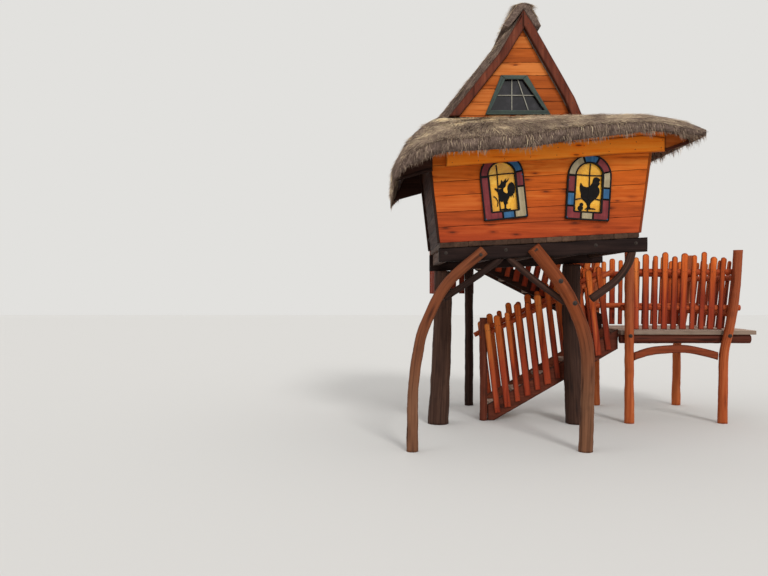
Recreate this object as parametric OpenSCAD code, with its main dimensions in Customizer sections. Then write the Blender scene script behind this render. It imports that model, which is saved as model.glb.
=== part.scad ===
/* [Cabin] */
// Width of the cabin at its floor
cabin_w = 1990; // [1600:10:2400]
// Depth of the cabin, front face to rear face
cabin_d = 1600; // [1300:10:2000]
// Height of the floor at the cabin's left corner above the ground
floor_z = 2070; // [1700:10:2500]
// How much the crooked floor rises towards the right, in degrees
floor_rise = 3; // [0:0.5:4]
// Outward lean of the left wall, in degrees
left_lean = 6.6; // [2:0.2:10]
// Outward lean of the right wall, in degrees
right_lean = 7.6; // [4:0.2:12]
// Thickness of the timber walls
wall_t = 60; // [40:5:80]
// Thickness of the floor boards
floor_t = 50; // [35:5:70]
// Width of the doorway in the rear wall
door_w = 620; // [520:10:720]
// Height of the doorway in the rear wall
door_h = 900; // [750:10:920]

/* [Platform] */
// Depth of the beams below the floor
beam_h = 140; // [110:5:170]
// Width of the beams below the floor
beam_w = 80; // [60:5:110]
// Number of joists between the two beams
joist_count = 5; // [3:1:7]

/* [Roof] */
// Height of the lower thatch above the floor, where it meets the upper gable roof
head_h = 1330; // [1230:10:1530]
// Height of the ridge above the floor
ridge_h = 2430; // [2130:10:2730]
// Vertical thickness of the lower thatch at its middle
thatch_t = 150; // [110:5:180]
// Thickness of the steep upper thatch
upper_t = 100; // [70:5:130]
// Overhang of the thatch in front of and behind the cabin
eave_front = 330; // [200:10:400]
// Overhang of the thatch on the left
eave_left = 480; // [380:10:560]
// Overhang of the thatch on the right
eave_right = 530; // [450:10:600]
// Width of the upper gable roof at its foot
gable_w = 1480; // [1380:10:1560]
// Setback of the upper gable from the cabin's front and rear faces
gable_setback = 300; // [220:10:400]
// Width of the verge boards
verge_w = 95; // [70:5:120]

/* [Windows] */
// Outer width of the two arched window frames
window_w = 430; // [360:5:460]
// Height of the straight sides of the arched frames
window_side = 435; // [360:5:460]
// Width of the coloured border of the arched windows
window_border = 80; // [60:5:95]
// Width of the gable window at its sill
gable_window_w = 680; // [560:10:720]
// Height of the gable window
gable_window_h = 410; // [340:10:440]

/* [Legs] */
// Radius of the two crooked front legs
leg_r = 68; // [55:1:85]
// Radius of the two thick rear posts
rear_post_r = 115; // [90:5:140]

/* [Landing] */
// Height of the landing's deck above the ground
landing_z = 1110; // [950:10:1250]
// Length of the landing to the right of the stairs
landing_l = 1320; // [1200:10:1700]
// Radius of the landing's crooked posts
post_r = 55; // [45:1:65]
// Height of the landing's top rail above its deck
rail_h = 710; // [600:10:800]
// Radius of the round rails
rail_r = 36; // [28:1:42]
// Number of pickets along the landing's front
picket_count = 11; // [8:1:13]

/* [Stairs] */
// Clear width of each flight between its strings
flight_w = 520; // [450:10:700]
// Length of each flight on plan
flight_l = 1600; // [1500:10:1900]
// Number of risers in each flight
riser_count = 6; // [5:1:7]
// Thickness of the treads
tread_t = 40; // [30:5:50]
// Thickness of the strings
string_t = 45; // [35:5:60]

/* [Hidden] */
$fn = 40;

// Clearance between pieces that touch along curved or sloping faces
seat = 0.3;
// Radius of the joint between a picket and its rail: how deep a picket is let into it
let_in = 8;

// Places of the cabin, measured from the foot of the main crooked leg at the origin
cabin_left = -1440;
cabin_right = cabin_left + cabin_w;
front_y = leg_r + seat;
rear_y = front_y + cabin_d;
head_z = floor_z + head_h;
ridge_z = floor_z + ridge_h;

// Height of the top of the crooked floor
function floor_at(x) = floor_z + (x - cabin_left) * tan(floor_rise);
// Edges of the leaning walls at a height
function left_edge(z) = cabin_left - (z - floor_z) * tan(left_lean);
function right_edge(z) = cabin_right + (z - floor_at(cabin_right)) * tan(right_lean);
function mix(a, b, t) = a + (b - a) * t;

// Lower thatch: an inner rectangle at the gable roof's foot and an outer one at the eaves
inner_left = cabin_left + 10;
inner_right = inner_left + gable_w;
inner_front = front_y + gable_setback;
inner_rear = rear_y - gable_setback;
outer_left = cabin_left - eave_left;
outer_right = cabin_right + eave_right;
outer_front = front_y - eave_front;
outer_rear = rear_y + eave_front;
ridge_x = inner_right - 610;

// Drop of the thatch's top from its head to the eave: deep at the drooping left corner, slight at the right
left_droop = 640;
left_shoulder = 475;
left_hip = 385;
left_front = 335;
middle_drop = 285;
right_front = 235;
right_drop = 190;
tip_drop = 270;
function eave_drop(x) = lookup(x, [
    [outer_left, left_droop],
    [mix(outer_left, inner_left, 0.33), left_shoulder],
    [mix(outer_left, inner_left, 0.7), left_hip],
    [inner_left, left_front],
    [mix(inner_left, inner_right, 0.56), middle_drop],
    [mix(inner_left, inner_right, 0.76), right_front],
    [inner_right, right_drop],
    [mix(inner_right, outer_right, 0.5), right_drop - 15],
    [outer_right, tip_drop]
]);
tip_t = 0.36;
function thatch_at(x) = thatch_t * lookup(x, [
    [outer_left, 0.85],
    [inner_left, 1],
    [inner_right, 1],
    [outer_right, tip_t]
]);
// Rows of the lower thatch from its head to its eave, and its convex fall at each row
eave_rows = 6;
fall_rows = [for (r = [0 : eave_rows]) let (t = r / eave_rows) [t, 0.45 * t + 0.55 * t * t * t]];
function fall(t) = lookup(t, fall_rows);
// How far a point on plan lies from the inner rectangle towards the eaves, 0 to 1
function outward(x, y) = max(0,
    (inner_left - x) / (inner_left - outer_left),
    (x - inner_right) / (outer_right - inner_right),
    (inner_front - y) / (inner_front - outer_front),
    (y - inner_rear) / (outer_rear - inner_rear));
// The left slope runs down straight, without the bell of the other sides
straight_reach = 500;
function straight(x) = lookup(x, [[inner_left, 1], [inner_left + straight_reach, 0]]);
function thatch_top(x, y) = let (t = outward(x, y)) head_z - eave_drop(x) * mix(fall(t), t, straight(x));
function thatch_under(x, y) = thatch_top(x, y) - thatch_at(x);

// Height at which a leaning wall meets the thatch, found by stepping up its line
function left_top(y, z, n) = n == 0 ? z : left_top(y, thatch_under(left_edge(z), y), n - 1);
function right_top(y, z, n) = n == 0 ? z : right_top(y, thatch_under(right_edge(z), y), n - 1);
meet_steps = 12;
side_y = mix(front_y, rear_y, 0.5);
left_side_top = left_top(side_y, head_z - thatch_t, meet_steps);
right_side_top = right_top(side_y, head_z - thatch_t, meet_steps);

// Draws a profile of x and z as a slab from y0 to y1
module standing(y0, y1) {
    translate([0, y1, 0]) rotate([90, 0, 0]) linear_extrude(y1 - y0) children();
}

// Points along a curve that passes through every point of p
function catmull(a, b, c, d, t) = 0.5 * (2 * b + (c - a) * t + (2 * a - 5 * b + 4 * c - d) * t * t
    + (3 * b - a - 3 * c + d) * t * t * t);
function curve(p, n) = [
    for (i = [0 : len(p) - 2]) for (k = [0 : n - 1])
        catmull(p[max(i - 1, 0)], p[i], p[i + 1], p[min(i + 2, len(p) - 1)], k / n),
    p[len(p) - 1]
];

// A crooked log in an upright plane at y, along points of x, z and radius
log_sides = 12;
module crooked_log(points, y, level_start = true, level_end = false, steps = 3) {
    p = curve(points, steps);
    last = len(p) - 1;
    function along(i) = (i == 0 && level_start) || (i == last && level_end) ? [0, 1]
        : let (d = p[min(i + 1, last)] - p[max(i - 1, 0)]) [d[0], d[1]] / norm([d[0], d[1]]);
    rings = [
        for (i = [0 : last]) let (t = along(i)) for (k = [0 : log_sides - 1])
            let (a = 360 * k / log_sides, across = p[i][2] * sin(a))
            [p[i][0] - t[1] * across, y + p[i][2] * cos(a), p[i][1] + t[0] * across]
    ];
    sides = [
        for (i = [0 : last - 1]) for (k = [0 : log_sides - 1])
            let (a = i * log_sides + k, b = i * log_sides + (k + 1) % log_sides)
            [a, a + log_sides, b + log_sides, b]
    ];
    start = [for (k = [0 : log_sides - 1]) k];
    end = [for (k = [log_sides - 1 : -1 : 0]) last * log_sides + k];
    polyhedron(points = rings, faces = concat(sides, [start, end]), convexity = 6);
}

// A thick curved sheet between a grid of top points and a grid of under points
module sheet(top, under) {
    rows = len(top) - 1;
    cols = len(top[0]) - 1;
    count = (rows + 1) * (cols + 1);
    function t(r, c) = r * (cols + 1) + c;
    function u(r, c) = count + t(r, c);
    points = concat([for (row = top) each row], [for (row = under) each row]);
    faces = concat(
        [for (r = [0 : rows - 1]) for (c = [0 : cols - 1]) each
            [[t(r, c), t(r, c + 1), t(r + 1, c + 1)], [t(r, c), t(r + 1, c + 1), t(r + 1, c)]]],
        [for (r = [0 : rows - 1]) for (c = [0 : cols - 1]) each
            [[u(r, c), u(r + 1, c + 1), u(r, c + 1)], [u(r, c), u(r + 1, c), u(r + 1, c + 1)]]],
        [for (c = [0 : cols - 1]) each
            [[t(0, c + 1), t(0, c), u(0, c), u(0, c + 1)], [t(rows, c), t(rows, c + 1), u(rows, c + 1), u(rows, c)]]],
        [for (r = [0 : rows - 1]) each
            [[t(r, 0), t(r + 1, 0), u(r + 1, 0), u(r, 0)], [t(r + 1, cols), t(r, cols), u(r, cols), u(r + 1, cols)]]]
    );
    polyhedron(points = points, faces = faces, convexity = 8);
}

// Columns across each face of the thatch
skirt_cols = 14;
slope_cols = 8;

module lower_thatch(head_y, eave_y, from_left) {
    steps = [for (r = [0 : eave_rows]) r / eave_rows];
    function place(t, c) = let (s = from_left ? c / skirt_cols : 1 - c / skirt_cols)
        [mix(mix(inner_left, outer_left, t), mix(inner_right, outer_right, t), s), mix(head_y, eave_y, t)];
    top = [for (t = steps) [for (c = [0 : skirt_cols]) let (p = place(t, c)) [p[0], p[1], thatch_top(p[0], p[1])]]];
    under = [for (t = steps) [for (c = [0 : skirt_cols]) let (p = place(t, c)) [p[0], p[1], thatch_under(p[0], p[1])]]];
    sheet(top, under);
}

// Bell-shaped outline of the upper gable roof: share of the half width at a share of the fall
bell = [[0, 0], [0.2, 0.17], [0.45, 0.42], [0.7, 0.66], [0.87, 0.83], [1, 1]];
function bell_z(i) = mix(ridge_z, head_z, bell[i][1]);
function bell_x(i, foot) = mix(ridge_x, foot, foot < ridge_x ? bell[i][1] : bell[i][0]);
ridge_drop = upper_t * 1.9;
// The left slope is thicker below the ridge, and its verge boards stand in from its edge
left_extra = 0.65;
verge_in_left = 105;
function left_share(i, foot) = foot < ridge_x && i > 1 ? 1 : 0;
function under_x(i, foot) = i == 0 ? ridge_x
    : i == len(bell) - 1 ? foot
    : bell_x(i, foot) + sign(ridge_x - foot) * upper_t * (0.85 + left_extra * left_share(i, foot));
function under_z(i) = i == 0 ? ridge_z - ridge_drop
    : i == len(bell) - 1 ? head_z - thatch_t
    : bell_z(i) - upper_t * 0.55;

module side_thatch(foot, eave, from_front) {
    function ys(t) = from_front ? [mix(inner_front, outer_front, t), mix(inner_rear, outer_rear, t)]
        : [mix(inner_rear, outer_rear, t), mix(inner_front, outer_front, t)];
    steep = [for (i = [0 : len(bell) - 2]) i];
    low = [for (r = [0 : eave_rows]) r / eave_rows];
    top = concat(
        [for (i = steep) [for (c = [0 : slope_cols])
            [bell_x(i, foot), mix(ys(0)[0], ys(0)[1], c / slope_cols), bell_z(i)]]],
        [for (t = low) let (x = mix(foot, eave, t)) [for (c = [0 : slope_cols])
            [x, mix(ys(t)[0], ys(t)[1], c / slope_cols), thatch_top(x, side_y)]]]
    );
    under = concat(
        [for (i = steep) [for (c = [0 : slope_cols])
            [under_x(i, foot), mix(ys(0)[0], ys(0)[1], c / slope_cols), under_z(i)]]],
        [for (t = low) let (x = mix(foot, eave, t)) [for (c = [0 : slope_cols])
            [x, mix(ys(t)[0], ys(t)[1], c / slope_cols), thatch_under(x, side_y)]]]
    );
    sheet(top, under);
}

module thatch_left() {
    color("#6f6055") side_thatch(inner_left, outer_left, false);
}

module thatch_right() {
    color("#6f6055") side_thatch(inner_right, outer_right, true);
}

module thatch_front() {
    color("#75665a") lower_thatch(inner_front, outer_front, true);
}

module thatch_rear() {
    color("#75665a") lower_thatch(inner_rear, outer_rear, false);
}

// Saddle of thatch over the ridge, bent down over both slopes
ridge_cap_t = 70;
ridge_cap_share = 1;
module thatch_ridge() {
    left = [for (i = [ridge_cap_share : -1 : 0]) [bell_x(i, inner_left), bell_z(i) + seat]];
    right = [[bell_x(ridge_cap_share, inner_right), bell_z(ridge_cap_share) + seat]];
    crown_w = 60;
    outer = [
        [bell_x(ridge_cap_share, inner_right) + ridge_cap_t * 0.9, bell_z(ridge_cap_share) + ridge_cap_t * 0.3],
        [ridge_x + crown_w, ridge_z + ridge_cap_t * 0.7],
        [ridge_x, ridge_z + ridge_cap_t],
        [ridge_x - crown_w, ridge_z + ridge_cap_t * 0.7],
        [bell_x(ridge_cap_share, inner_left) - ridge_cap_t * 0.9, bell_z(ridge_cap_share) + ridge_cap_t * 0.3]
    ];
    color("#7d6c5c") standing(inner_front - verge_t, inner_rear + verge_t) polygon(concat(left, right, outer));
}

// Verge boards in front of the ends of the upper thatch, standing on the lower thatch
verge_t = 60;
verge_foot = seat;
function verge_shift(i, foot) = foot < ridge_x ? verge_in_left * min(1, i / 2) : 0;
function verge_out(foot) = [for (i = [0 : len(bell) - 1]) [bell_x(i, foot) + verge_shift(i, foot), bell_z(i)]];
function verge_in(foot) = [
    for (i = [0 : len(bell) - 1])
        i == 0 ? [ridge_x, ridge_z - verge_w * 1.8]
        : [bell_x(i, foot) + verge_shift(i, foot) + sign(ridge_x - foot) * verge_w * 1.12, bell_z(i)]
];
function backwards(p) = [for (i = [len(p) - 1 : -1 : 0]) p[i]];
module verge_profile() {
    polygon(concat(
        backwards(verge_out(inner_left)), [for (i = [1 : len(bell) - 1]) verge_out(inner_right)[i]],
        backwards(verge_in(inner_right)), [for (i = [1 : len(bell) - 1]) verge_in(inner_left)[i]]
    ));
}
module verge_boards() {
    color("#8a3f22") translate([0, 0, verge_foot]) {
        standing(inner_front - verge_t, inner_front - seat) verge_profile();
        standing(inner_rear + seat, inner_rear + verge_t) verge_profile();
    }
}

// Upper gable walls between the slopes
gable_t = 45;
gable_sill_z = head_z + 20;
gable_window_x = ridge_x - 48;
gable_window_lean = -42;
gable_frame_w = 36;
gable_top_w = 0.4;
function gable_inner() = concat(
    [[inner_left + upper_t * 0.3, head_z - thatch_t]],
    [for (i = [len(bell) - 2 : -1 : 1]) [under_x(i, inner_left) + 1, under_z(i)]],
    [[ridge_x, ridge_z - ridge_drop - 2]],
    [for (i = [1 : len(bell) - 2]) [under_x(i, inner_right) - 1, under_z(i)]],
    [[inner_right - upper_t * 0.3, head_z - thatch_t]]
);
module gable_window_outline(inset) {
    top_w = gable_window_w * gable_top_w;
    translate([gable_window_x, gable_sill_z]) polygon([
        [-gable_window_w / 2 + inset * 1.2, inset],
        [gable_window_w / 2 - inset * 1.4, inset],
        [gable_window_lean + top_w / 2 - inset, gable_window_h - inset],
        [gable_window_lean - top_w / 2 + inset, gable_window_h - inset]
    ]);
}
module front_gable() {
    color("#c8742f") standing(inner_front, inner_front + gable_t) difference() {
        polygon(gable_inner());
        gable_window_outline(0);
    }
}
module rear_gable() {
    color("#c8742f") standing(inner_rear - gable_t, inner_rear) polygon(gable_inner());
}
gable_frame_proud = 25;
module gable_window_frame() {
    color("#2e4638") standing(inner_front - gable_frame_proud, inner_front + gable_t) difference() {
        gable_window_outline(0);
        gable_window_outline(gable_frame_w);
    }
}

// Platform: two beams along the front and rear, joists between them, floor boards on top
module sloping_bar(x0, x1, drop, h) {
    polygon([
        [x0, floor_at(x0) - drop - h], [x1, floor_at(x1) - drop - h],
        [x1, floor_at(x1) - drop], [x0, floor_at(x0) - drop]
    ]);
}
beam_out = 90;
// The rear beam is deeper than the front one
rear_beam_extra = 55;
module platform_beams() {
    color("#6b5546") {
        standing(front_y, front_y + beam_w) sloping_bar(cabin_left - 10, cabin_right + beam_out, floor_t, beam_h);
        standing(rear_y - beam_w, rear_y)
            sloping_bar(cabin_left - 10, cabin_right + beam_out, floor_t, beam_h + rear_beam_extra);
    }
}
joist_w = 70;
module platform_joists() {
    color("#4a342a") for (i = [0 : joist_count - 1]) {
        x = mix(cabin_left + 30, cabin_right - joist_w - 20, i / (joist_count - 1));
        standing(front_y + beam_w, rear_y - beam_w) sloping_bar(x, x + joist_w, floor_t, beam_h - 10);
    }
}
module cabin_floor() {
    color("#8a6a4f") standing(front_y, rear_y) sloping_bar(cabin_left, cabin_right, 0, floor_t);
}

// Front wall with its two arched openings
left_window_x = -780;
left_window_z = floor_z + 240;
left_window_turn = 6;
right_window_x = cabin_right - 525;
right_window_z = floor_z + 230;
right_window_turn = -3.5;
window_frame_t = 28;
window_rebate = 40;
module arch(w, side, from) {
    translate([-w / 2, from]) square([w, side - from]);
    translate([0, side]) circle(d = w);
}
module at_left_window() {
    translate([left_window_x, left_window_z]) rotate(left_window_turn) children();
}
module at_right_window() {
    translate([right_window_x, right_window_z]) rotate(right_window_turn) children();
}
module wall_opening() {
    arch(window_w - 2 * window_rebate, window_side, window_rebate);
}
wall_points = 12;
function wall_top(y) = [
    for (i = [wall_points : -1 : 0])
        let (x = mix(left_edge(left_top(y, left_side_top, meet_steps)),
            right_edge(right_top(y, right_side_top, meet_steps)), i / wall_points))
        [x, thatch_under(x, y) - seat]
];
module front_profile() {
    polygon(concat(
        [[cabin_left, floor_at(cabin_left)], [cabin_right, floor_at(cabin_right)]],
        wall_top(front_y)
    ));
}
module front_wall() {
    color("#c46a2a") standing(front_y, front_y + wall_t) difference() {
        front_profile();
        at_left_window() wall_opening();
        at_right_window() wall_opening();
    }
}

// Rear wall, split beside and over its doorway
door_x = cabin_left + 190;
module door_line() {
    translate([door_x, floor_at(door_x) - floor_t]) square([door_w, door_h + floor_t]);
}
module rear_wall_left() {
    color("#c46a2a") standing(rear_y - wall_t, rear_y) intersection() {
        front_profile();
        translate([door_x - cabin_w, 0]) square([cabin_w, ridge_z]);
    }
}
module rear_wall_right() {
    color("#c46a2a") standing(rear_y - wall_t, rear_y) intersection() {
        front_profile();
        translate([door_x + door_w, 0]) square([cabin_w * 2, ridge_z]);
    }
}
module rear_wall_over_door() {
    color("#c46a2a") standing(rear_y - wall_t, rear_y) difference() {
        intersection() {
            front_profile();
            translate([door_x, 0]) square([door_w, ridge_z]);
        }
        door_line();
    }
}

// Side walls lean outward between the front and rear walls
side_seat = 3.5;
module left_wall() {
    z1 = left_side_top;
    x1 = left_edge(z1);
    inner = wall_t / cos(left_lean);
    y0 = front_y + wall_t;
    y1 = rear_y - wall_t;
    reach = outward(x1, side_y);
    color("#b8622c") intersection() {
        standing(y0, y1) polygon([
            [cabin_left, floor_at(cabin_left)],
            [cabin_left + inner, floor_at(cabin_left + inner)],
            [x1 + inner, z1], [x1, z1]
        ]);
        translate([outer_left, 0, 0]) rotate([90, 0, 90]) linear_extrude(cabin_w) polygon([
            [y0, 0], [y1, 0], [y1, thatch_under(x1, y1) - side_seat],
            [mix(inner_rear, outer_rear, reach), z1 - side_seat],
            [mix(inner_front, outer_front, reach), z1 - side_seat],
            [y0, thatch_under(x1, y0) - side_seat]
        ]);
    }
}
module right_wall() {
    z1 = right_side_top;
    inner = wall_t / cos(right_lean);
    z2 = thatch_under(right_edge(z1), side_y) - side_seat;
    color("#b8622c") standing(front_y + wall_t, rear_y - wall_t) polygon([
        [cabin_right - inner, floor_at(cabin_right - inner)],
        [cabin_right, floor_at(cabin_right)],
        [right_edge(z1), z2],
        [right_edge(z1) - inner, z2]
    ]);
}

// Thin boards over the four corners of the cabin
corner_t = 24;
corner_w = 70;
corner_gap = 140;
module corner_profiles() {
    left_z = left_side_top - corner_gap;
    right_z = right_side_top - corner_gap;
    translate([-seat, 0]) polygon([
        [cabin_left - corner_t, floor_at(cabin_left)], [cabin_left, floor_at(cabin_left)],
        [left_edge(left_z), left_z], [left_edge(left_z) - corner_t, left_z]
    ]);
    translate([seat, 0]) polygon([
        [cabin_right, floor_at(cabin_right)], [cabin_right + corner_t, floor_at(cabin_right)],
        [right_edge(right_z) + corner_t, right_z], [right_edge(right_z), right_z]
    ]);
}
module corner_boards() {
    color("#a8582a") {
        standing(front_y, front_y + corner_w) corner_profiles();
        standing(rear_y - corner_w, rear_y) corner_profiles();
    }
}

// Wide boards under the eaves, proud of the front and rear walls
fascia_t = 35;
fascia_seat = 4;
fascia_left = cabin_left + 60;
fascia_right = cabin_right + 250;
fascia_left_z = floor_z + 760;
fascia_right_z = floor_z + 915;
function fascia_z(x) = mix(fascia_left_z, fascia_right_z, (x - fascia_left) / (fascia_right - fascia_left));
module fascia_profile() {
    polygon(concat(
        [[fascia_left, fascia_z(fascia_left)], [fascia_right, fascia_z(fascia_right)]],
        [for (i = [wall_points : -1 : 0]) let (x = mix(fascia_left, fascia_right, i / wall_points))
            [x, thatch_under(x, front_y - fascia_t) - fascia_seat]]
    ));
}
module fascia_boards() {
    color("#d08a3a") {
        standing(front_y - fascia_t, front_y) fascia_profile();
        standing(rear_y, rear_y + fascia_t) difference() {
            fascia_profile();
            translate([fascia_left - seat, 0]) square([door_x + door_w + fascia_t - fascia_left, ridge_z]);
        }
    }
}

// Triangular cheeks that close the side eaves at the front and rear
cheek_t = 25;
cheek_seat = 6;
cheek_points = 5;
cheek_tip_in = 40;
module cheek(x0, z0, x1, z1) {
    polygon(concat(
        [[x0, z0], [x1, z1]],
        [for (i = [0 : cheek_points]) let (x = mix(x1, x0, i / cheek_points))
            [x, max(thatch_under(x, front_y - cheek_t) - cheek_seat, mix(z1, z0, i / cheek_points) + 3)]]
    ));
}
module cheek_pair() {
    right_tip = outer_right - cheek_tip_in;
    left_tip = outer_left + cheek_tip_in;
    left_start = left_edge(fascia_left_z) + 12;
    cheek(fascia_right, fascia_right_z, right_tip, thatch_under(right_tip, front_y) - 30);
    cheek(left_start, fascia_left_z - 40, left_tip, thatch_under(left_tip, front_y) - 30);
}
module eave_cheeks() {
    color("#b5652e") {
        standing(front_y - cheek_t, front_y) cheek_pair();
        standing(rear_y, rear_y + cheek_t) cheek_pair();
    }
}

// Arched stained windows: a coloured border on the wall's face and a pane behind it
module window_frame() {
    standing(front_y - window_frame_t, front_y) difference() {
        children(0);
        children(1);
    }
}
module below_fascia() {
    intersection() {
        children();
        polygon([
            [fascia_left, floor_z], [fascia_right, floor_z],
            [fascia_right, fascia_z(fascia_right) - seat], [fascia_left, fascia_z(fascia_left) - seat]
        ]);
    }
}
module left_window_frame() {
    color("#7a3340") window_frame() {
        below_fascia() at_left_window() arch(window_w, window_side, 0);
        at_left_window() arch(window_w - 2 * window_border, window_side, window_border);
    }
}
module right_window_frame() {
    color("#7a3340") window_frame() {
        below_fascia() at_right_window() arch(window_w, window_side, 0);
        at_right_window() arch(window_w - 2 * window_border, window_side, window_border);
    }
}
pane_t = 8;
gable_pane_y = inner_front + 12;
module window_panes() {
    color("#dba63a") standing(front_y, front_y + pane_t) {
        at_left_window() wall_opening();
        at_right_window() wall_opening();
    }
    color("#3a3548") standing(gable_pane_y, gable_pane_y + pane_t) gable_window_outline(gable_frame_w);
}

// Dark figures of a rooster and a hen in front of the panes
figure_t = 8;
module rooster_outline() {
    polygon([
        [-43, 335], [-23, 351], [-16, 362], [-8, 394], [8, 374], [42, 404], [39, 377], [73, 405],
        [56, 373], [38, 357], [34, 339], [27, 321], [13, 312], [3, 298], [4, 276], [19, 261],
        [38, 253], [47, 271], [44, 299], [52, 328], [67, 350], [88, 362], [106, 353], [118, 328],
        [121, 298], [116, 272], [109, 246], [98, 247], [98, 204], [87, 234], [74, 208], [65, 227],
        [54, 207], [42, 188], [32, 167], [37, 154], [22, 148], [16, 131], [13, 112], [21, 101],
        [39, 97], [54, 102], [55, 86], [-54, 92], [-52, 103], [-29, 104], [-8, 105], [-2, 120],
        [-2, 142], [-6, 164], [-12, 179], [-25, 174], [-39, 183], [-44, 210], [-52, 245], [-59, 276],
        [-70, 292], [-83, 302], [-81, 318], [-60, 311], [-40, 303], [-19, 305], [-14, 314], [-25, 311],
        [-36, 316], [-42, 325]
    ]);
}
module hen_outline() {
    polygon([
        [126, 420], [111, 410], [101, 420], [82, 430], [64, 431], [46, 422], [38, 402], [36, 378],
        [23, 356], [10, 340], [-8, 329], [-31, 328], [-53, 334], [-67, 349], [-79, 368], [-86, 350],
        [-89, 321], [-84, 288], [-73, 260], [-72, 231], [-59, 205], [-38, 188], [-19, 171], [-8, 152],
        [-3, 129], [-14, 117], [-28, 104], [84, 109], [59, 120], [30, 122], [26, 135], [24, 150],
        [32, 169], [50, 190], [73, 212], [94, 235], [108, 262], [113, 291], [108, 316], [93, 336],
        [100, 353], [110, 368], [102, 382], [106, 397]
    ]);
}
chick_r = 27;
module chick_outline() {
    translate([-70, 114]) circle(r = chick_r);
    translate([-61, 150]) circle(r = chick_r * 0.7);
}
module rooster_figure() {
    color("#1c1a18") standing(front_y - figure_t, front_y) at_left_window() rooster_outline();
}
module hen_figure() {
    color("#1c1a18") standing(front_y - figure_t, front_y) at_right_window() union() {
        hen_outline();
        chick_outline();
    }
}

// Crooked front legs, bolted to the face of the front beam
leg_top_drop = floor_t + 50;
main_top_x = -520;
main_top_z = floor_at(main_top_x) - leg_top_drop;
module front_right_leg() {
    color("#a8683c") crooked_log([
        [0, 0, leg_r * 1.05], [10, 0.2 * main_top_z, leg_r], [20, 0.4 * main_top_z, leg_r],
        [0, 0.54 * main_top_z, leg_r], [-90, 0.68 * main_top_z, leg_r], [-255, 0.83 * main_top_z, leg_r],
        [main_top_x, main_top_z, leg_r]
    ], 0);
}
left_foot_x = -1720;
left_top_x = -1010;
left_top_z = floor_at(left_top_x) - leg_top_drop;
left_leg_r = leg_r * 0.8;
left_leg_y = front_y - seat - left_leg_r;
module front_left_leg() {
    color("#8f5c3c") crooked_log([
        [left_foot_x, 0, left_leg_r * 1.1], [left_foot_x + 10, 0.3 * left_top_z, left_leg_r],
        [left_foot_x + 60, 0.5 * left_top_z, left_leg_r], [left_foot_x + 130, 0.63 * left_top_z, left_leg_r],
        [left_foot_x + 340, 0.83 * left_top_z, left_leg_r], [left_top_x, left_top_z, left_leg_r]
    ], left_leg_y);
}

// Thick posts under the rear beam
rear_post_y = rear_y - beam_w - 30;
rear_left_x = cabin_left + 150;
rear_right_x = cabin_right - 300;
rear_lean = 60;
module rear_post(x, lean) {
    top_z = floor_at(x - rear_post_r * 0.9) - floor_t - beam_h - rear_beam_extra - seat;
    crooked_log([
        [x + lean, 0, rear_post_r * 1.1], [x + lean * 0.4, 0.4 * top_z, rear_post_r],
        [x, 0.75 * top_z, rear_post_r * 0.95], [x, top_z, rear_post_r * 0.9]
    ], rear_post_y, true, true, 2);
}
module rear_posts() {
    color("#4f382c") {
        rear_post(rear_left_x, -rear_lean);
        rear_post(rear_right_x, rear_lean);
    }
}

// Braces under the front beam: two to the crooked legs, and a knee brace at the right end
brace_r = 42;
tie_r = 34;
tie_y = front_y + tie_r;
function under_beam(x, r) = floor_at(x - r) - floor_t - beam_h - seat;
module leg_braces() {
    tie_x = main_top_x - 260;
    knee_x = cabin_right - 60;
    knee_z = under_beam(knee_x, brace_r);
    color("#6e4630") {
        crooked_log([
            [knee_x - 405, knee_z - 467, brace_r], [knee_x - 172, knee_z - 294, brace_r * 0.95],
            [knee_x - 50, knee_z - 142, brace_r * 0.95], [knee_x, knee_z, brace_r]
        ], front_y + beam_w / 2, false, true, 3);
        crooked_log([
            [tie_x + 40, under_beam(tie_x + 40, tie_r), tie_r],
            [tie_x + 300, 0.84 * main_top_z, tie_r], [tie_x + 600, 0.73 * main_top_z, tie_r]
        ], tie_y, true, false, 3);
        crooked_log([
            [tie_x - 50, under_beam(tie_x - 50, tie_r), tie_r],
            [tie_x - 290, 0.86 * main_top_z, tie_r], [tie_x - 620, 0.75 * main_top_z, tie_r]
        ], tie_y, true, false, 3);
    }
}

// Landing beside the cabin
landing_left = cabin_right + 320;
landing_right = landing_left + landing_l;
post_y = rear_y - 98.3;
landing_d = 1420;
rear_post_line = post_y + landing_d;
deck_t = 50;
bearer_r = 55;
post_bend = 190;
post_top = landing_z + 970;
deck_front = post_y + post_r + seat;
deck_rear = rear_post_line - post_r - seat;
module landing_deck() {
    color("#b3a18c") translate([landing_left, deck_front, landing_z - deck_t])
        cube([landing_l + 320, deck_rear - deck_front, deck_t]);
}
module landing_beams() {
    color("#7a5238") {
        for (y = [deck_front + bearer_r, deck_rear - bearer_r])
            translate([landing_left, y, landing_z - deck_t - bearer_r])
                rotate([0, 90, 0]) cylinder(r = bearer_r, h = landing_l + 260);
        arched_brace();
    }
}
left_post_x = landing_left + 80;
right_post_x = landing_right - 120;
module arched_brace() {
    brace_h = 95;
    rise = 90;
    span = right_post_x - left_post_x - 2 * post_r - 1;
    sag_r = (span * span / 4 + rise * rise) / (2 * rise);
    mid = (left_post_x + right_post_x) / 2;
    top_z = landing_z - deck_t - 2 * bearer_r - 10;
    standing(post_y - 25, post_y + 25) intersection() {
        difference() {
            translate([mid, top_z - sag_r]) circle(r = sag_r, $fn = 90);
            translate([mid, top_z - sag_r - brace_h]) circle(r = sag_r, $fn = 90);
        }
        translate([mid - span / 2, top_z - rise - brace_h]) square([span, rise + brace_h]);
    }
}
function post_points(x, bend, top) = [
    [x, 0, post_r * 1.1], [x + bend * 0.05, 0.4 * landing_z, post_r], [x + bend * 0.1, 0.75 * landing_z, post_r],
    [x + bend * 0.42, landing_z, post_r], [x + bend * 0.8, mix(landing_z, top, 0.45), post_r],
    [x + bend, top, post_r]
];
post_steps = 2;
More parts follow.
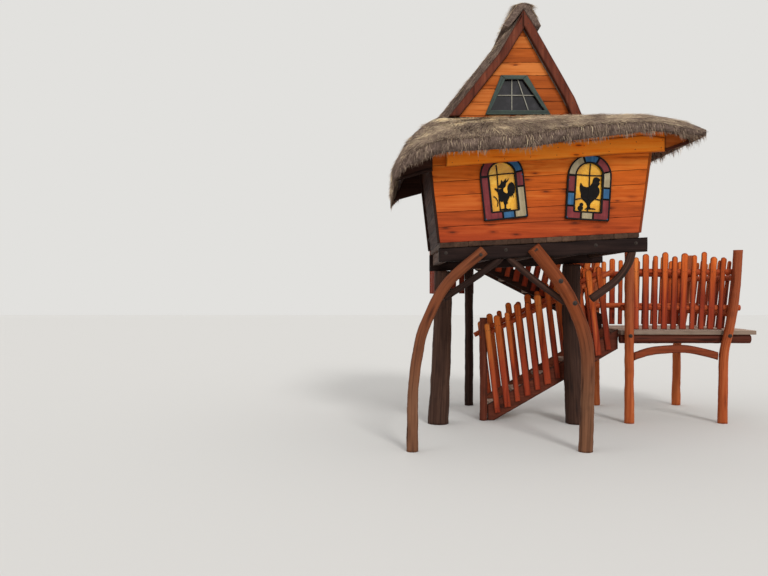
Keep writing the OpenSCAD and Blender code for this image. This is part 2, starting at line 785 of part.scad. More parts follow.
function post_x_at(z) = lookup(z, [for (p = curve(post_points(right_post_x, post_bend, post_top), post_steps)) [p[1], p[0]]]);
module landing_post(x, y, bend, top) {
    crooked_log(post_points(x, bend, top), y, true, true, post_steps);
}
module landing_front_posts() {
    color("#a5522c") {
        landing_post(left_post_x, post_y, 0, post_top - 30);
        landing_post(right_post_x, post_y, post_bend, post_top);
    }
}
module landing_rear_posts() {
    color("#a5522c") {
        landing_post(left_post_x, rear_post_line, 0, post_top - 60);
        landing_post(right_post_x, rear_post_line, post_bend, post_top);
    }
}

// A picket: a board with a rounded top, standing on z = 0
picket_t = 24;
module picket(w, h, lean = 0) {
    rotate(-lean) {
        translate([-w / 2, 0]) square([w, h - w / 2]);
        translate([0, h - w / 2]) circle(d = w, $fn = 24);
    }
}
// Uneven widths and tops, repeated along a row
picket_ws = [64, 76, 58, 72, 66, 80, 60];
picket_hs = [0, 40, 18, 60, 10, 48, 28, 64, 6];
function pick(list, i) = list[i % len(list)];

low_rail_z = landing_z + 275;
top_rail_z = landing_z + rail_h;
picket_low = landing_z + 15;
module landing_row(y_rail, y_picket, count) {
    rail_x0 = landing_left + 10;
    rail_l = landing_l + 120;
    for (z = [low_rail_z, top_rail_z])
        translate([rail_x0, y_rail, z]) rotate([0, 90, 0]) cylinder(r = rail_r, h = rail_l);
    first = left_post_x + post_r + 45;
    pitch = (right_post_x - 75 - first) / (count - 1);
    for (i = [0 : count - 1])
        standing(y_picket, y_picket + picket_t)
            translate([first + i * pitch + i / count * post_bend * 0.35, picket_low])
                picket(pick(picket_ws, i), rail_h + 165 + pick(picket_hs, i), i / count * 4);
}
front_rail_y = post_y + post_r + rail_r + seat;
rear_rail_y = rear_post_line - post_r - rail_r - seat;
module landing_front_railing() {
    color("#b4552a") landing_row(front_rail_y, front_rail_y - rail_r - picket_t + let_in, picket_count - 1);
}
module landing_rear_railing() {
    color("#a94f29") landing_row(rear_rail_y, rear_rail_y + rail_r - let_in, picket_count - 1);
}
// The end railing leans outward with the crooked posts; its rails pass below the others
end_low_z = low_rail_z - 2 * rail_r - seat;
end_top_z = top_rail_z - 2 * rail_r - seat;
end_pickets = picket_count - 2;
end_in = 2 * rail_r + 48;
module landing_end_railing() {
    y0 = post_y + post_r + seat;
    y1 = rear_post_line - post_r - seat;
    lean = atan2(post_x_at(end_top_z) - post_x_at(end_low_z), end_top_z - end_low_z);
    color("#a94f29") {
        for (z = [end_low_z, end_top_z])
            translate([post_x_at(z), y1, z]) rotate([90, 0, 0]) cylinder(r = rail_r, h = y1 - y0);
        translate([post_x_at(end_low_z), 0, end_low_z]) rotate([0, lean, 0])
            for (i = [0 : end_pickets - 1])
                translate([rail_r - let_in, mix(y0 + end_in, y1 - end_in, i / (end_pickets - 1)), picket_low - end_low_z])
                    rotate([90, 0, 90]) linear_extrude(picket_t)
                        picket(pick(picket_ws, i + 2), rail_h + 130 + pick(picket_hs, i + 3));
    }
}

// Stairs: two flights side by side, joined by the landing
lower_y0 = post_y + 170;
lower_y1 = lower_y0 + flight_w + 2 * string_t;
flight_gap = 2 * picket_t + 16;
upper_y0 = lower_y1 + flight_gap;
upper_y1 = upper_y0 + flight_w + 2 * string_t;
flight_foot = landing_left - flight_l;
upper_top_z = floor_at(cabin_left) + 20;
// A string covers the treads between the level z0 at x0 and the level z1 at x1
string_over = 10;
module string_profile(x0, z0, x1, z1) {
    rise = (z1 - z0) / riser_count;
    h = rise + tread_t + string_over + 5;
    polygon([
        [x0, z0 + rise + string_over - h], [x1, z1 + string_over - h],
        [x1, z1 + string_over], [x0, z0 + rise + string_over]
    ]);
}
module strings(y0, y1, x0, z0, x1, z1) {
    for (y = [y0, y1 - string_t])
        standing(y, y + string_t) intersection() {
            string_profile(x0, z0, x1, z1);
            translate([min(x0, x1), 0]) square([flight_l, ridge_z]);
        }
}
module treads(y0, y1, x0, z0, x1, z1) {
    rise = (z1 - z0) / riser_count;
    going = (abs(x1 - x0) - seat) / (riser_count - 1);
    for (i = [1 : riser_count - 1]) {
        x = x1 > x0 ? x0 + (i - 1) * going : x0 - i * going;
        translate([x, y0 + string_t, z0 + i * rise - tread_t]) cube([going, y1 - y0 - 2 * string_t, tread_t]);
    }
}
module lower_strings() {
    color("#7d4a30") strings(lower_y0, lower_y1, flight_foot, 0, landing_left - seat, landing_z);
}
module lower_treads() {
    color("#9a8470") treads(lower_y0, lower_y1, flight_foot, 0, landing_left, landing_z);
}
module upper_strings() {
    color("#7d4a30") strings(upper_y0, upper_y1, landing_left - seat, landing_z, flight_foot, upper_top_z);
}
module upper_treads() {
    color("#9a8470") treads(upper_y0, upper_y1, landing_left, landing_z, flight_foot, upper_top_z);
}

// A railing beside a flight: leaning pickets nailed to the string, a round handrail and a newel
flight_pickets = 12;
// Heights of the handrails over the pickets' line at the foot and the head of each flight
lower_hand = [1050, 950];
upper_hand = [740, 760];
newel_r = 48;
newel_h = 1260;
// The handrail starts before the first picket by this much
hand_lead = 150;
module flight_railing(y_face, outward, x0, z0, x1, z1, lean, hand) {
    slope = (z1 - z0) / (x1 - x0);
    hand_slope = (z1 + hand[1] - z0 - hand[0]) / (x1 - x0);
    way = sign(x1 - x0);
    angle = atan(hand_slope);
    board_y = outward > 0 ? y_face + seat : y_face - picket_t - seat;
    rail_y = outward > 0 ? board_y - rail_r + let_in : board_y + picket_t + rail_r - let_in;
    for (i = [0 : flight_pickets - 1]) {
        x = mix(x0, x1, (i + 0.5) / flight_pickets);
        standing(board_y, board_y + picket_t) translate([x, z0 + (x - x0) * slope + 20])
            picket(pick(picket_ws, i) + 6, mix(hand[0], hand[1], (i + 0.5) / flight_pickets) + 60 + pick(picket_hs, i), lean);
    }
    translate([x0 - way * hand_lead, rail_y, z0 + hand[0] - way * hand_lead * hand_slope])
        rotate([0, way > 0 ? 90 - angle : -90 - angle, 0])
            cylinder(r = rail_r * 0.85, h = (abs(x1 - x0) + hand_lead) / cos(angle));
}
rail_start = 60;
module lower_railing(y_face, outward) {
    flight_railing(y_face, outward, flight_foot + rail_start, 40, landing_left - rail_start,
        landing_z - 230, -7, lower_hand);
}
module upper_railing(y_face, outward) {
    flight_railing(y_face, outward, landing_left - 3 * rail_start, landing_z + 40,
        flight_foot + rail_start, upper_top_z - 175, 13, upper_hand);
}
module lower_front_railing() {
    color("#b4552a") {
        lower_railing(lower_y0, -1);
        translate([flight_foot - newel_r - seat, lower_y0 + rail_r - let_in, 0])
            cylinder(r = newel_r, h = newel_h);
    }
}
module lower_rear_railing() {
    color("#a94f29") lower_railing(lower_y1, 1);
}
module upper_front_railing() {
    color("#b4552a") upper_railing(upper_y0, -1);
}
module upper_rear_railing() {
    color("#a94f29") upper_railing(upper_y1, 1);
}

// Gallery behind the cabin, at the head of the upper flight
gallery_left = cabin_left + 100;
gallery_right = flight_foot - seat;
gallery_front = rear_y + seat;
gallery_rear = upper_y1;
// Its wing passes the doorway, over the foot of the lower flight
wing_right = door_x + door_w + 110;
wing_rear = upper_y0 - picket_t - 20;
module gallery_deck() {
    color("#8a6a4f") translate([0, 0, upper_top_z - deck_t]) linear_extrude(deck_t) polygon([
        [gallery_left, gallery_front], [wing_right, gallery_front], [wing_right, wing_rear],
        [gallery_right, wing_rear], [gallery_right, gallery_rear], [gallery_left, gallery_rear]
    ]);
}
gallery_post_r = 60;
module gallery_beams() {
    beam_z = upper_top_z - deck_t - beam_h;
    color("#4f382c") {
        for (y = [gallery_front + 40, wing_rear - beam_w])
            translate([gallery_left, y, beam_z]) cube([wing_right - gallery_left, beam_w, beam_h]);
        translate([gallery_left, gallery_rear - beam_w, beam_z])
            cube([gallery_right - gallery_left, beam_w, beam_h]);
        for (x = [gallery_left + 90, gallery_right - 90])
            translate([x, gallery_rear - gallery_post_r - seat, 0]) cylinder(r = gallery_post_r, h = beam_z);
    }
}
// Its pickets hang below the deck and stay under the drooping rear eave
gallery_hang = 540;
gallery_rail_h = 620;
gallery_over = 60;
side_pickets = 9;
back_pickets = 5;
short_pickets = 5;
function gallery_picket_h(i) = gallery_hang + gallery_rail_h + gallery_over + pick(picket_hs, i) / 2;
module gallery_railing() {
    x_face = gallery_left - picket_t - seat;
    y_face = gallery_rear + seat;
    back_rail_y = y_face - rail_r + let_in;
    color("#a94f29") {
        for (i = [0 : side_pickets - 1])
            translate([x_face, mix(gallery_front + 90, gallery_rear - 60, i / (side_pickets - 1)),
                upper_top_z - gallery_hang])
                rotate([90, 0, 90]) linear_extrude(picket_t) picket(pick(picket_ws, i) + 10, gallery_picket_h(i));
        for (i = [0 : back_pickets - 1])
            standing(y_face, y_face + picket_t)
                translate([mix(gallery_left + 70, gallery_right - 60, i / (back_pickets - 1)),
                    upper_top_z - gallery_hang])
                    picket(pick(picket_ws, i + 1) + 10, gallery_picket_h(i + 2));
        for (i = [0 : short_pickets - 1])
            translate([wing_right + seat, mix(gallery_front + 90, wing_rear - 50, i / (short_pickets - 1)),
                upper_top_z - deck_t - beam_h])
                rotate([90, 0, 90]) linear_extrude(picket_t)
                    picket(pick(picket_ws, i) + 10, gallery_picket_h(i + 1) - gallery_hang + deck_t + beam_h);
        translate([wing_right + seat - rail_r + let_in, wing_rear, upper_top_z + gallery_rail_h])
            rotate([90, 0, 0]) cylinder(r = rail_r, h = wing_rear - gallery_front - fascia_t);
        translate([x_face + picket_t + rail_r - let_in, back_rail_y - rail_r - seat, upper_top_z + gallery_rail_h])
            rotate([90, 0, 0]) cylinder(r = rail_r, h = back_rail_y - rail_r - gallery_front - cheek_t - 2 * seat);
        translate([gallery_left, back_rail_y, upper_top_z + gallery_rail_h])
            rotate([0, 90, 0]) cylinder(r = rail_r, h = gallery_right - gallery_left);
    }
}

platform_beams();
platform_joists();
cabin_floor();
front_wall();
rear_wall_left();
rear_wall_right();
rear_wall_over_door();
left_wall();
right_wall();
corner_boards();
fascia_boards();
thatch_left();
thatch_right();
thatch_front();
thatch_rear();
thatch_ridge();
front_gable();
rear_gable();
gable_window_frame();
verge_boards();
eave_cheeks();
left_window_frame();
right_window_frame();
window_panes();
rooster_figure();
hen_figure();
front_right_leg();
front_left_leg();
rear_posts();
leg_braces();
landing_deck();
landing_beams();
landing_front_posts();
landing_rear_posts();
landing_front_railing();
landing_rear_railing();
landing_end_railing();
lower_strings();
lower_treads();
lower_front_railing();
lower_rear_railing();
upper_strings();
upper_treads();
upper_front_railing();
upper_rear_railing();
gallery_deck();
gallery_beams();
gallery_railing();
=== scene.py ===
"""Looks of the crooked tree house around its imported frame. Places are in millimetres until a piece is made."""

import math

import bpy
import numpy as np
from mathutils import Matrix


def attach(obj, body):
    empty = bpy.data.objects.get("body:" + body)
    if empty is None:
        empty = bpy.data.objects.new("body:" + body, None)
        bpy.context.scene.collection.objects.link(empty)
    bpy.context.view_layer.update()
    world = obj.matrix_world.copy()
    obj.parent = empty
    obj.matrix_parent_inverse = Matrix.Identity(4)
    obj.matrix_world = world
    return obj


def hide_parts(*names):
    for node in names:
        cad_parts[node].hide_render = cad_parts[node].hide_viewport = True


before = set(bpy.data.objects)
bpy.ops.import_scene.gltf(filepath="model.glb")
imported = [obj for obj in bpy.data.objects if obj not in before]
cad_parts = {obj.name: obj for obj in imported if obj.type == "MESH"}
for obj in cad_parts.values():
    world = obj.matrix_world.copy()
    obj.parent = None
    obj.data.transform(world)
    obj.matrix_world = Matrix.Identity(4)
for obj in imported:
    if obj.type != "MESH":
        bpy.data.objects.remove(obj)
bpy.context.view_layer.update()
random = np.random.default_rng(7)

# Sizes repeated from the part's source

cabin_left, cabin_w, cabin_d = -1440.0, 1990.0, 1600.0
cabin_right = cabin_left + cabin_w
leg_r, seat = 68.0, 0.3
front_y = leg_r + seat
rear_y = front_y + cabin_d
floor_z, floor_rise = 2070.0, math.tan(math.radians(3))
left_lean, right_lean = 6.6, 7.6
wall_t, floor_t, beam_h, beam_w = 60.0, 50.0, 140.0, 80.0
rear_extra = 55.0
door_x, door_w, door_h = cabin_left + 190, 620.0, 900.0
head_z, ridge_z, thatch_t, upper_t = 3400.0, 4500.0, 150.0, 100.0
inner_left = cabin_left + 10
inner_right = inner_left + 1480
inner_front, inner_rear = front_y + 300, rear_y - 300
outer_left, outer_right = cabin_left - 480, cabin_right + 530
outer_front, outer_rear = front_y - 330, rear_y + 330
ridge_x = inner_right - 610
side_y = (front_y + rear_y) / 2
verge_t, verge_w = 60.0, 95.0
bell = [(0, 0), (0.2, 0.17), (0.45, 0.42), (0.7, 0.66), (0.87, 0.83), (1, 1)]
landing_z, landing_l, landing_left = 1110.0, 1320.0, 870.0
landing_right = landing_left + landing_l
post_y, landing_d, post_r = 1570.0, 1420.0, 55.0
rear_post_line = post_y + landing_d
deck_t, bearer_r = 50.0, 55.0
post_bend, post_top = 190.0, landing_z + 970
deck_front, deck_rear = post_y + post_r + seat, rear_post_line - post_r - seat
rail_h, rail_r, picket_count, picket_t, let_in = 710.0, 36.0, 11, 24.0, 8.0
flight_w, flight_l, riser_count, tread_t, string_t = 520.0, 1600.0, 6, 40.0, 45.0
lower_y0 = post_y + 170
lower_y1 = lower_y0 + flight_w + 2 * string_t
upper_y0 = lower_y1 + 2 * picket_t + 16
upper_y1 = upper_y0 + flight_w + 2 * string_t
flight_foot = landing_left - flight_l


def mix(a, b, t):
    return a + (b - a) * t


def floor_at(x):
    return floor_z + (x - cabin_left) * floor_rise


def left_edge(z):
    return cabin_left - (z - floor_z) * math.tan(math.radians(left_lean))


def right_edge(z):
    return cabin_right + (z - floor_at(cabin_right)) * math.tan(math.radians(right_lean))


upper_top_z = floor_at(cabin_left) + 20
eave_xs = [mix(outer_left, inner_left, t) for t in (0, 0.33, 0.7, 1)]
eave_xs += [mix(inner_left, inner_right, t) for t in (0.56, 0.76, 1)]
eave_xs += [mix(inner_right, outer_right, t) for t in (0.5, 1)]
eave_drops = [640, 475, 385, 335, 285, 235, 190, 175, 270]
fall_rows = [r / 6 for r in range(7)]
fall_shares = [0.45 * r + 0.55 * r**3 for r in fall_rows]


def thatch_top(x, y):
    """The roof's height outside the steep part: level at its foot, and down to the eave that sinks and rises."""
    t = np.maximum((inner_left - x) / (inner_left - outer_left), (x - inner_right) / (outer_right - inner_right))
    t = np.maximum(t, (inner_front - y) / (inner_front - outer_front))
    t = np.maximum(np.maximum(t, (y - inner_rear) / (outer_rear - inner_rear)), 0)
    straight = np.interp(x, [inner_left, inner_left + 500], [1, 0])
    return head_z - np.interp(x, eave_xs, eave_drops) * mix(np.interp(t, fall_rows, fall_shares), t, straight)


def thatch_under(x, y):
    thick = np.interp(x, [outer_left, inner_left, inner_right, outer_right], [0.85, 1, 1, 0.36])
    return thatch_top(x, y) - thatch_t * thick


def under_thatch(y, gap):
    return lambda x: float(thatch_under(x, y)) - gap


# Making meshes


def smooth_noise(points, seed, octaves=3):
    """A smooth random value from -1 to 1 at each row of points, whose unit is one wave."""
    rng = np.random.default_rng(seed)
    total = np.zeros(len(points))
    size = 0.0
    for octave in range(octaves):
        for _ in range(4):
            direction = rng.normal(size=points.shape[1])
            direction *= 2.0**octave * rng.uniform(0.7, 1.4) / np.linalg.norm(direction)
            total += np.sin(points @ direction * 2 * math.pi + rng.uniform(0, 2 * math.pi)) * 0.6**octave
        size += 4 * 0.6**octave
    return total / size * 2


def unit(v):
    return v / np.linalg.norm(v, axis=-1)[..., None]


class Piece:
    """Collects many closed shapes with their grain, tone, edge and shade, and makes one object of them."""

    def __init__(self, name):
        self.name, self.count = name, 0
        self.data = {}

    def add(self, verts, faces, grain, tone, edge=0.0, shade=0.0, material=0, smooth=False):
        n, m = len(verts), len(faces)
        for key, values in (
            ("verts", verts), ("loops", np.concatenate(faces) + self.count), ("sizes", [len(f) for f in faces]),
            ("material", np.full(m, material)), ("smooth", np.full(m, smooth)), ("grain", grain),
            ("tone", np.broadcast_to(tone, n)), ("edge", np.broadcast_to(edge, n)),
            ("shade", np.broadcast_to(shade, n)),
        ):
            self.data.setdefault(key, []).append(values)
        self.count += n

    def build(self, materials, node=None, slot=None):
        """Makes the object and hides the imported part of the node it replaces. The slot argument is not used."""
        data = {key: np.concatenate(values) for key, values in self.data.items()}
        sizes = data["sizes"]
        mesh = bpy.data.meshes.new(self.name)
        mesh.vertices.add(self.count)
        mesh.vertices.foreach_set("co", (data["verts"] * 0.001).ravel())
        mesh.loops.add(len(data["loops"]))
        mesh.loops.foreach_set("vertex_index", data["loops"])
        mesh.polygons.add(len(sizes))
        for key, values in (
            ("loop_start", np.cumsum(sizes) - sizes), ("loop_total", sizes), ("material_index", data["material"]),
            ("use_smooth", data["smooth"]),
        ):
            mesh.polygons.foreach_set(key, values)
        mesh.update(calc_edges=True)
        mesh.validate()
        grain = mesh.attributes.new("grain", "FLOAT_VECTOR", "POINT")
        grain.data.foreach_set("vector", (data["grain"] * 0.001).ravel())
        for key in ("tone", "edge", "shade"):
            mesh.attributes.new(key, "FLOAT", "POINT").data.foreach_set("value", data[key].astype(float))
        for material in materials if isinstance(materials, list) else [materials]:
            mesh.materials.append(material)
        thing = bpy.data.objects.new(self.name, mesh)
        bpy.context.scene.collection.objects.link(thing)
        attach(thing, "root")
        if node:
            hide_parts(node)


def refine(outline, step):
    """Points along a closed outline, no further apart than step."""
    points = []
    for i, a in enumerate(outline):
        b = outline[(i + 1) % len(outline)]
        n = max(1, int(math.ceil(math.dist(a, b) / step)))
        points += [(mix(a[0], b[0], k / n), mix(a[1], b[1], k / n)) for k in range(n)]
    return np.array(points)


def inset(p, distance):
    """The outline p, counterclockwise, moved inward by a distance at each point."""
    before, after = p - np.roll(p, 1, axis=0), np.roll(p, -1, axis=0) - p
    n0, n1 = (
        np.stack([-d[:, 1], d[:, 0]], 1) / np.maximum(np.linalg.norm(d, axis=1), 1e-9)[:, None] for d in (before, after)
    )
    bisector = (n0 + n1) / np.maximum(1 + np.sum(n0 * n1, 1), 0.35)[:, None]
    return p + bisector * distance[:, None]


def tube(count, n):
    """The quads between rings of n points each, and the caps of the first and the last ring."""
    k = np.arange(n)
    after = (k + 1) % n
    faces = [list(q) for r in range(count - 1) for q in np.stack([k, after, after + n, k + n], 1) + r * n]
    return faces + [list(k[::-1]), list((count - 1) * n + k)]


# How boards are cut: most between two points, bevel, how uneven the bevel is, and how far the faces swell
wall_cut, side_cut, corner_cut = (120, 3.5, 0.6, 0.6), (130, 3.5, 0.6, 0.6), (130, 3, 0.7, 0.4)
fascia_cut, cheek_cut, batten_cut = (110, 4, 0.8, 0.8), (90, 3, 0.7, 0.4), (90, 2.5, 0.6, 0.2)
beam_cut, joist_cut, floor_cut = (90, 9, 1.1, 2), (120, 6, 0.9, 1), (140, 4, 0.9, 0.6)
gable_cut, verge_cut, bead_cut = (120, 3, 0.6, 0.4), (80, 4, 0.8, 0.8), (90, 2.5, 0.5, 0.2)
border_cut, pane_cut, gable_pane_cut = (40, 2.5, 0.8, 1), (60, 1, 0.3, 0), (90, 1, 0.3, 0)
figure_cut, chick_cut, picket_cut = (20, 0.8, 0.2, 0), (20, 1, 0.3, 0), (70, 4, 0.7, 0.6)
deck_cut, arch_cut, saddle_cut = (120, 4, 0.9, 0.8), (70, 9, 0.9, 2), (60, 8, 1, 0)
string_cut, tread_cut, gallery_cut = (100, 6, 0.9, 1.2), (90, 5, 0.9, 1.2), (100, 8, 1, 1.5)
board_number = 0


def board(piece, outline, t, place, cut, tone=None, shade=0.0, along=0, material=0, inner=14.0):
    """A closed board: an outline on a plane, t thick, with worn edges. place(u, v, w) gives its place, w inward."""
    global board_number
    board_number += 1
    rng = np.random.default_rng(board_number)
    step, bevel, rough, dish = cut
    p = refine(outline, step)
    q = np.roll(p, -1, axis=0)
    if np.sum(p[:, 0] * q[:, 1] - q[:, 0] * p[:, 1]) < 0:
        p = p[::-1].copy()
    n = len(p)
    bevel = min(bevel, t * 0.3)
    inner = min(inner, (p.max(0) - p.min(0)).min() * 0.28)
    offset = rng.uniform(-900, 900, 3)
    near, far = (
        bevel * (1 + rough * smooth_noise(p / 90 + rng.uniform(0, 50, 2), board_number + k)) for k in (0, 1)
    )
    verts, grain, edge = [], [], []
    for ring, depth, worn in (
        (inset(p, near + inner), -dish, 0.0), (inset(p, near), 0.0, 0.75), (p, near * 1.2, 1.0),
        (p, t - far * 1.2, 1.0), (inset(p, far), t, 0.75), (inset(p, far + inner), t + dish, 0.0),
    ):
        w = np.broadcast_to(depth, n)
        verts += [place(u, v, k) for (u, v), k in zip(ring, w)]
        grain.append(np.column_stack([ring, w])[:, ((0, 1, 2), (1, 0, 2), (2, 0, 1))[along]])
        edge.append(np.full(n, worn))
    origin, u, v, inward = (np.array(place(*spot)) for spot in ((0, 0, 0), (1, 0, 0), (0, 1, 0), (0, 0, 1)))
    faces = tube(6, n)
    if np.dot(np.cross(u - origin, v - origin), inward - origin) <= 0:
        faces = [f[::-1] for f in faces]
    if tone is None:
        tone = rng.uniform(0, 1)
    if callable(shade):
        shade = np.array([shade(*v) for v in verts])
    piece.add(np.array(verts), faces, np.concatenate(grain) + offset, tone, np.concatenate(edge), shade, material)


def rect(x0, z0, x1, z1):
    return [(x0, z0), (x1, z0), (x1, z1), (x0, z1)]


def upright(y, side=-1):
    """Places x and z on an upright plane whose outer face is at y, facing the front when side is -1."""
    return lambda u, v, w: (u, y - side * w, v)


def flat(z):
    """Places x and y on a level plane whose top is at z."""
    return lambda u, v, w: (u, v, z - w)


def ribbon(piece, path, width, t, place, material):
    """A flat strip of a width along a path on a plane."""
    p = np.array(path, float)
    d = unit(np.gradient(p, axis=0))
    side = np.stack([-d[:, 1], d[:, 0]], 1) * width / 2
    outline = [tuple(q) for q in np.concatenate([p - side, (p + side)[::-1]])]
    board(piece, outline, t, place, (60, 1.5, 0.4, 0), material=material, inner=width * 0.2)


def catmull(a, b, c, d, t):
    return 0.5 * (2 * b + (c - a) * t + (2 * a - 5 * b + 4 * c - d) * t * t + (3 * b - a - 3 * c + d) * t**3)


def curve(points, n):
    p = np.array(points, float)
    last = len(p) - 1
    rows = [
        catmull(p[max(i - 1, 0)], p[i], p[i + 1], p[min(i + 2, last)], k / n) for i in range(last) for k in range(n)
    ]
    return np.array(rows + [p[-1]])


# How logs are made: sides, most between two rings, how lumpy, and how many knots
leg_log, left_leg_log, rear_log = (24, 26, 0.06, 12), (22, 28, 0.06, 10), (28, 34, 0.06, 14)
knee_log, tie_log, post_log = (18, 26, 0.06, 5), (16, 26, 0.06, 5), (20, 28, 0.06, 9)
bearer_log, newel_log = (22, 30, 0.03, 8), (20, 26, 0.06, 9)
gallery_log, pole_log = (20, 34, 0.05, 12), (10, 60, 0.05, 3)


def log(piece, path, seed, make, level, shade, straight=False, material=0):
    """A rough round log along rows of x, y, z and radius, with knots, closed by worn ends, cut level where it says."""
    sides, gap, lumps, knots = make
    rng = np.random.default_rng(seed)
    fine = curve(path, 1 if straight else 16)
    lengths = np.concatenate([[0], np.cumsum(np.linalg.norm(np.diff(fine[:, :3], axis=0), axis=1))])
    n = max(3, int(lengths[-1] / gap) + 1)
    s = np.linspace(0, lengths[-1], n)
    p = np.stack([np.interp(s, lengths, fine[:, c]) for c in range(4)], 1)
    tangent = unit(np.gradient(p[:, :3], axis=0))
    for end in (0, -1):
        if level[end]:
            tangent[end] = (0, 0, np.sign(tangent[end][2]) or 1)
    guide = np.array([0, 1.0, 0]) if abs(tangent[n // 2][1]) < 0.8 else np.array([1.0, 0, 0])
    first = unit(guide - tangent * (tangent @ guide)[:, None])
    second = np.cross(tangent, first)
    ring_s, ring_a = np.repeat(s, sides), np.tile(np.arange(sides) * 2 * math.pi / sides, n)
    centre, r = np.repeat(p[:, :3], sides, axis=0), np.repeat(p[:, 3], sides)
    around = np.stack([np.cos(ring_a), np.sin(ring_a)], 1)
    scale = 1 + lumps * (smooth_noise(np.column_stack([around * r[:, None] / 110, ring_s / 330]), seed) - 0.3)
    bumps = np.zeros(len(ring_s))
    for _ in range(knots):
        knot_s, knot_a, knot_r = rng.uniform(0.1, 0.9) * lengths[-1], rng.uniform(0, 2 * math.pi), rng.uniform(16, 30)
        off = (ring_a - knot_a + math.pi) % (2 * math.pi) - math.pi
        away = np.hypot(ring_s - knot_s, off * r) / knot_r
        bumps += np.exp(-(away**2))
        scale += 0.09 * np.exp(-(away**2)) - 0.05 * np.exp(-((away / 0.45) ** 2))
    out = np.repeat(first, sides, axis=0) * around[:, :1] + np.repeat(second, sides, axis=0) * around[:, 1:]
    body = centre + out * (r * scale)[:, None]
    ends = []
    for end, rim, sign in ((0, body[:sides], -1), (-1, body[-sides:], 1)):
        middle, radius = p[end, :3], p[end, 3]
        bulge = 0.0 if level[end] else radius * 0.06
        ends.append((
            middle + (rim - middle) * 0.88 + tangent[end] * sign * bulge,
            np.column_stack([np.full(sides, s[end] * 0.2), around[:sides] * radius * 2]),
        ))
    verts = np.concatenate([ends[0][0], body, ends[1][0]])
    grain = np.concatenate([ends[0][1], np.column_stack([ring_s, around * r[:, None] * 2.2]), ends[1][1]])
    worn = np.full(sides, 0.45)
    edge = np.concatenate([worn, np.clip(bumps, 0, 1) * 0.7, worn])
    if callable(shade):
        shade = np.array([shade(*v) for v in verts])
    offset = rng.uniform(-900, 900, 3)
    piece.add(verts, tube(n + 2, sides), grain + offset, rng.uniform(0, 1), edge, shade, material, True)


def stud(piece, centre, normal, r, h, sides=8, seat_in=2.0):
    """A small domed nail or bolt head on a face."""
    centre, normal = np.array(centre, float), unit(np.array(normal, float))
    guide = np.array([0, 0, 1.0]) if abs(normal[2]) < 0.8 else np.array([1.0, 0, 0])
    u = unit(np.cross(guide, normal))
    a = np.arange(sides)[:, None] * 2 * math.pi / sides
    circle = (np.cos(a) * u + np.sin(a) * np.cross(normal, u)) * r
    rings = [centre + normal * up + circle * wide for up, wide in ((-seat_in, 1), (h * 0.5, 1), (h, 0.6))]
    verts = np.concatenate(rings)
    piece.add(verts, tube(3, sides), verts, 0.5)


nails, bolts = Piece("nail_heads"), Piece("leg_bolts")


def nail_row(points, normal, r=4.5):
    for p in points:
        stud(nails, p, normal, r, 2.2, 7)


def bolt(centre, normal=(0, -1, 0)):
    stud(bolts, centre, normal, 24, 5, 16, 6)
    stud(bolts, np.array(centre) + np.array(normal) * 4, normal, 13, 11, 6)


# Materials


def linear(c):
    return tuple((v / 255 / 12.92) if v <= 10 else ((v / 255 + 0.055) / 1.055) ** 2.4 for v in c) + (1.0,)


class Nodes:
    """A node tree of a material or a world, wired by short calls."""

    def __init__(self, owner):
        owner.use_nodes = True
        self.tree = owner.node_tree
        self.tree.nodes.clear()

    def node(self, kind, inputs=None, **settings):
        n = self.tree.nodes.new("ShaderNode" + kind)
        for key, value in settings.items():
            setattr(n, key, value)
        for key, value in (inputs or {}).items():
            self.feed(n.inputs[key], value)
        return n

    def feed(self, socket, value):
        if isinstance(value, bpy.types.NodeSocket):
            self.tree.links.new(value, socket)
        else:
            socket.default_value = value

    def math(self, operation, a, b, clamp=False):
        return self.node("Math", {0: a, 1: b}, operation=operation, use_clamp=clamp).outputs[0]


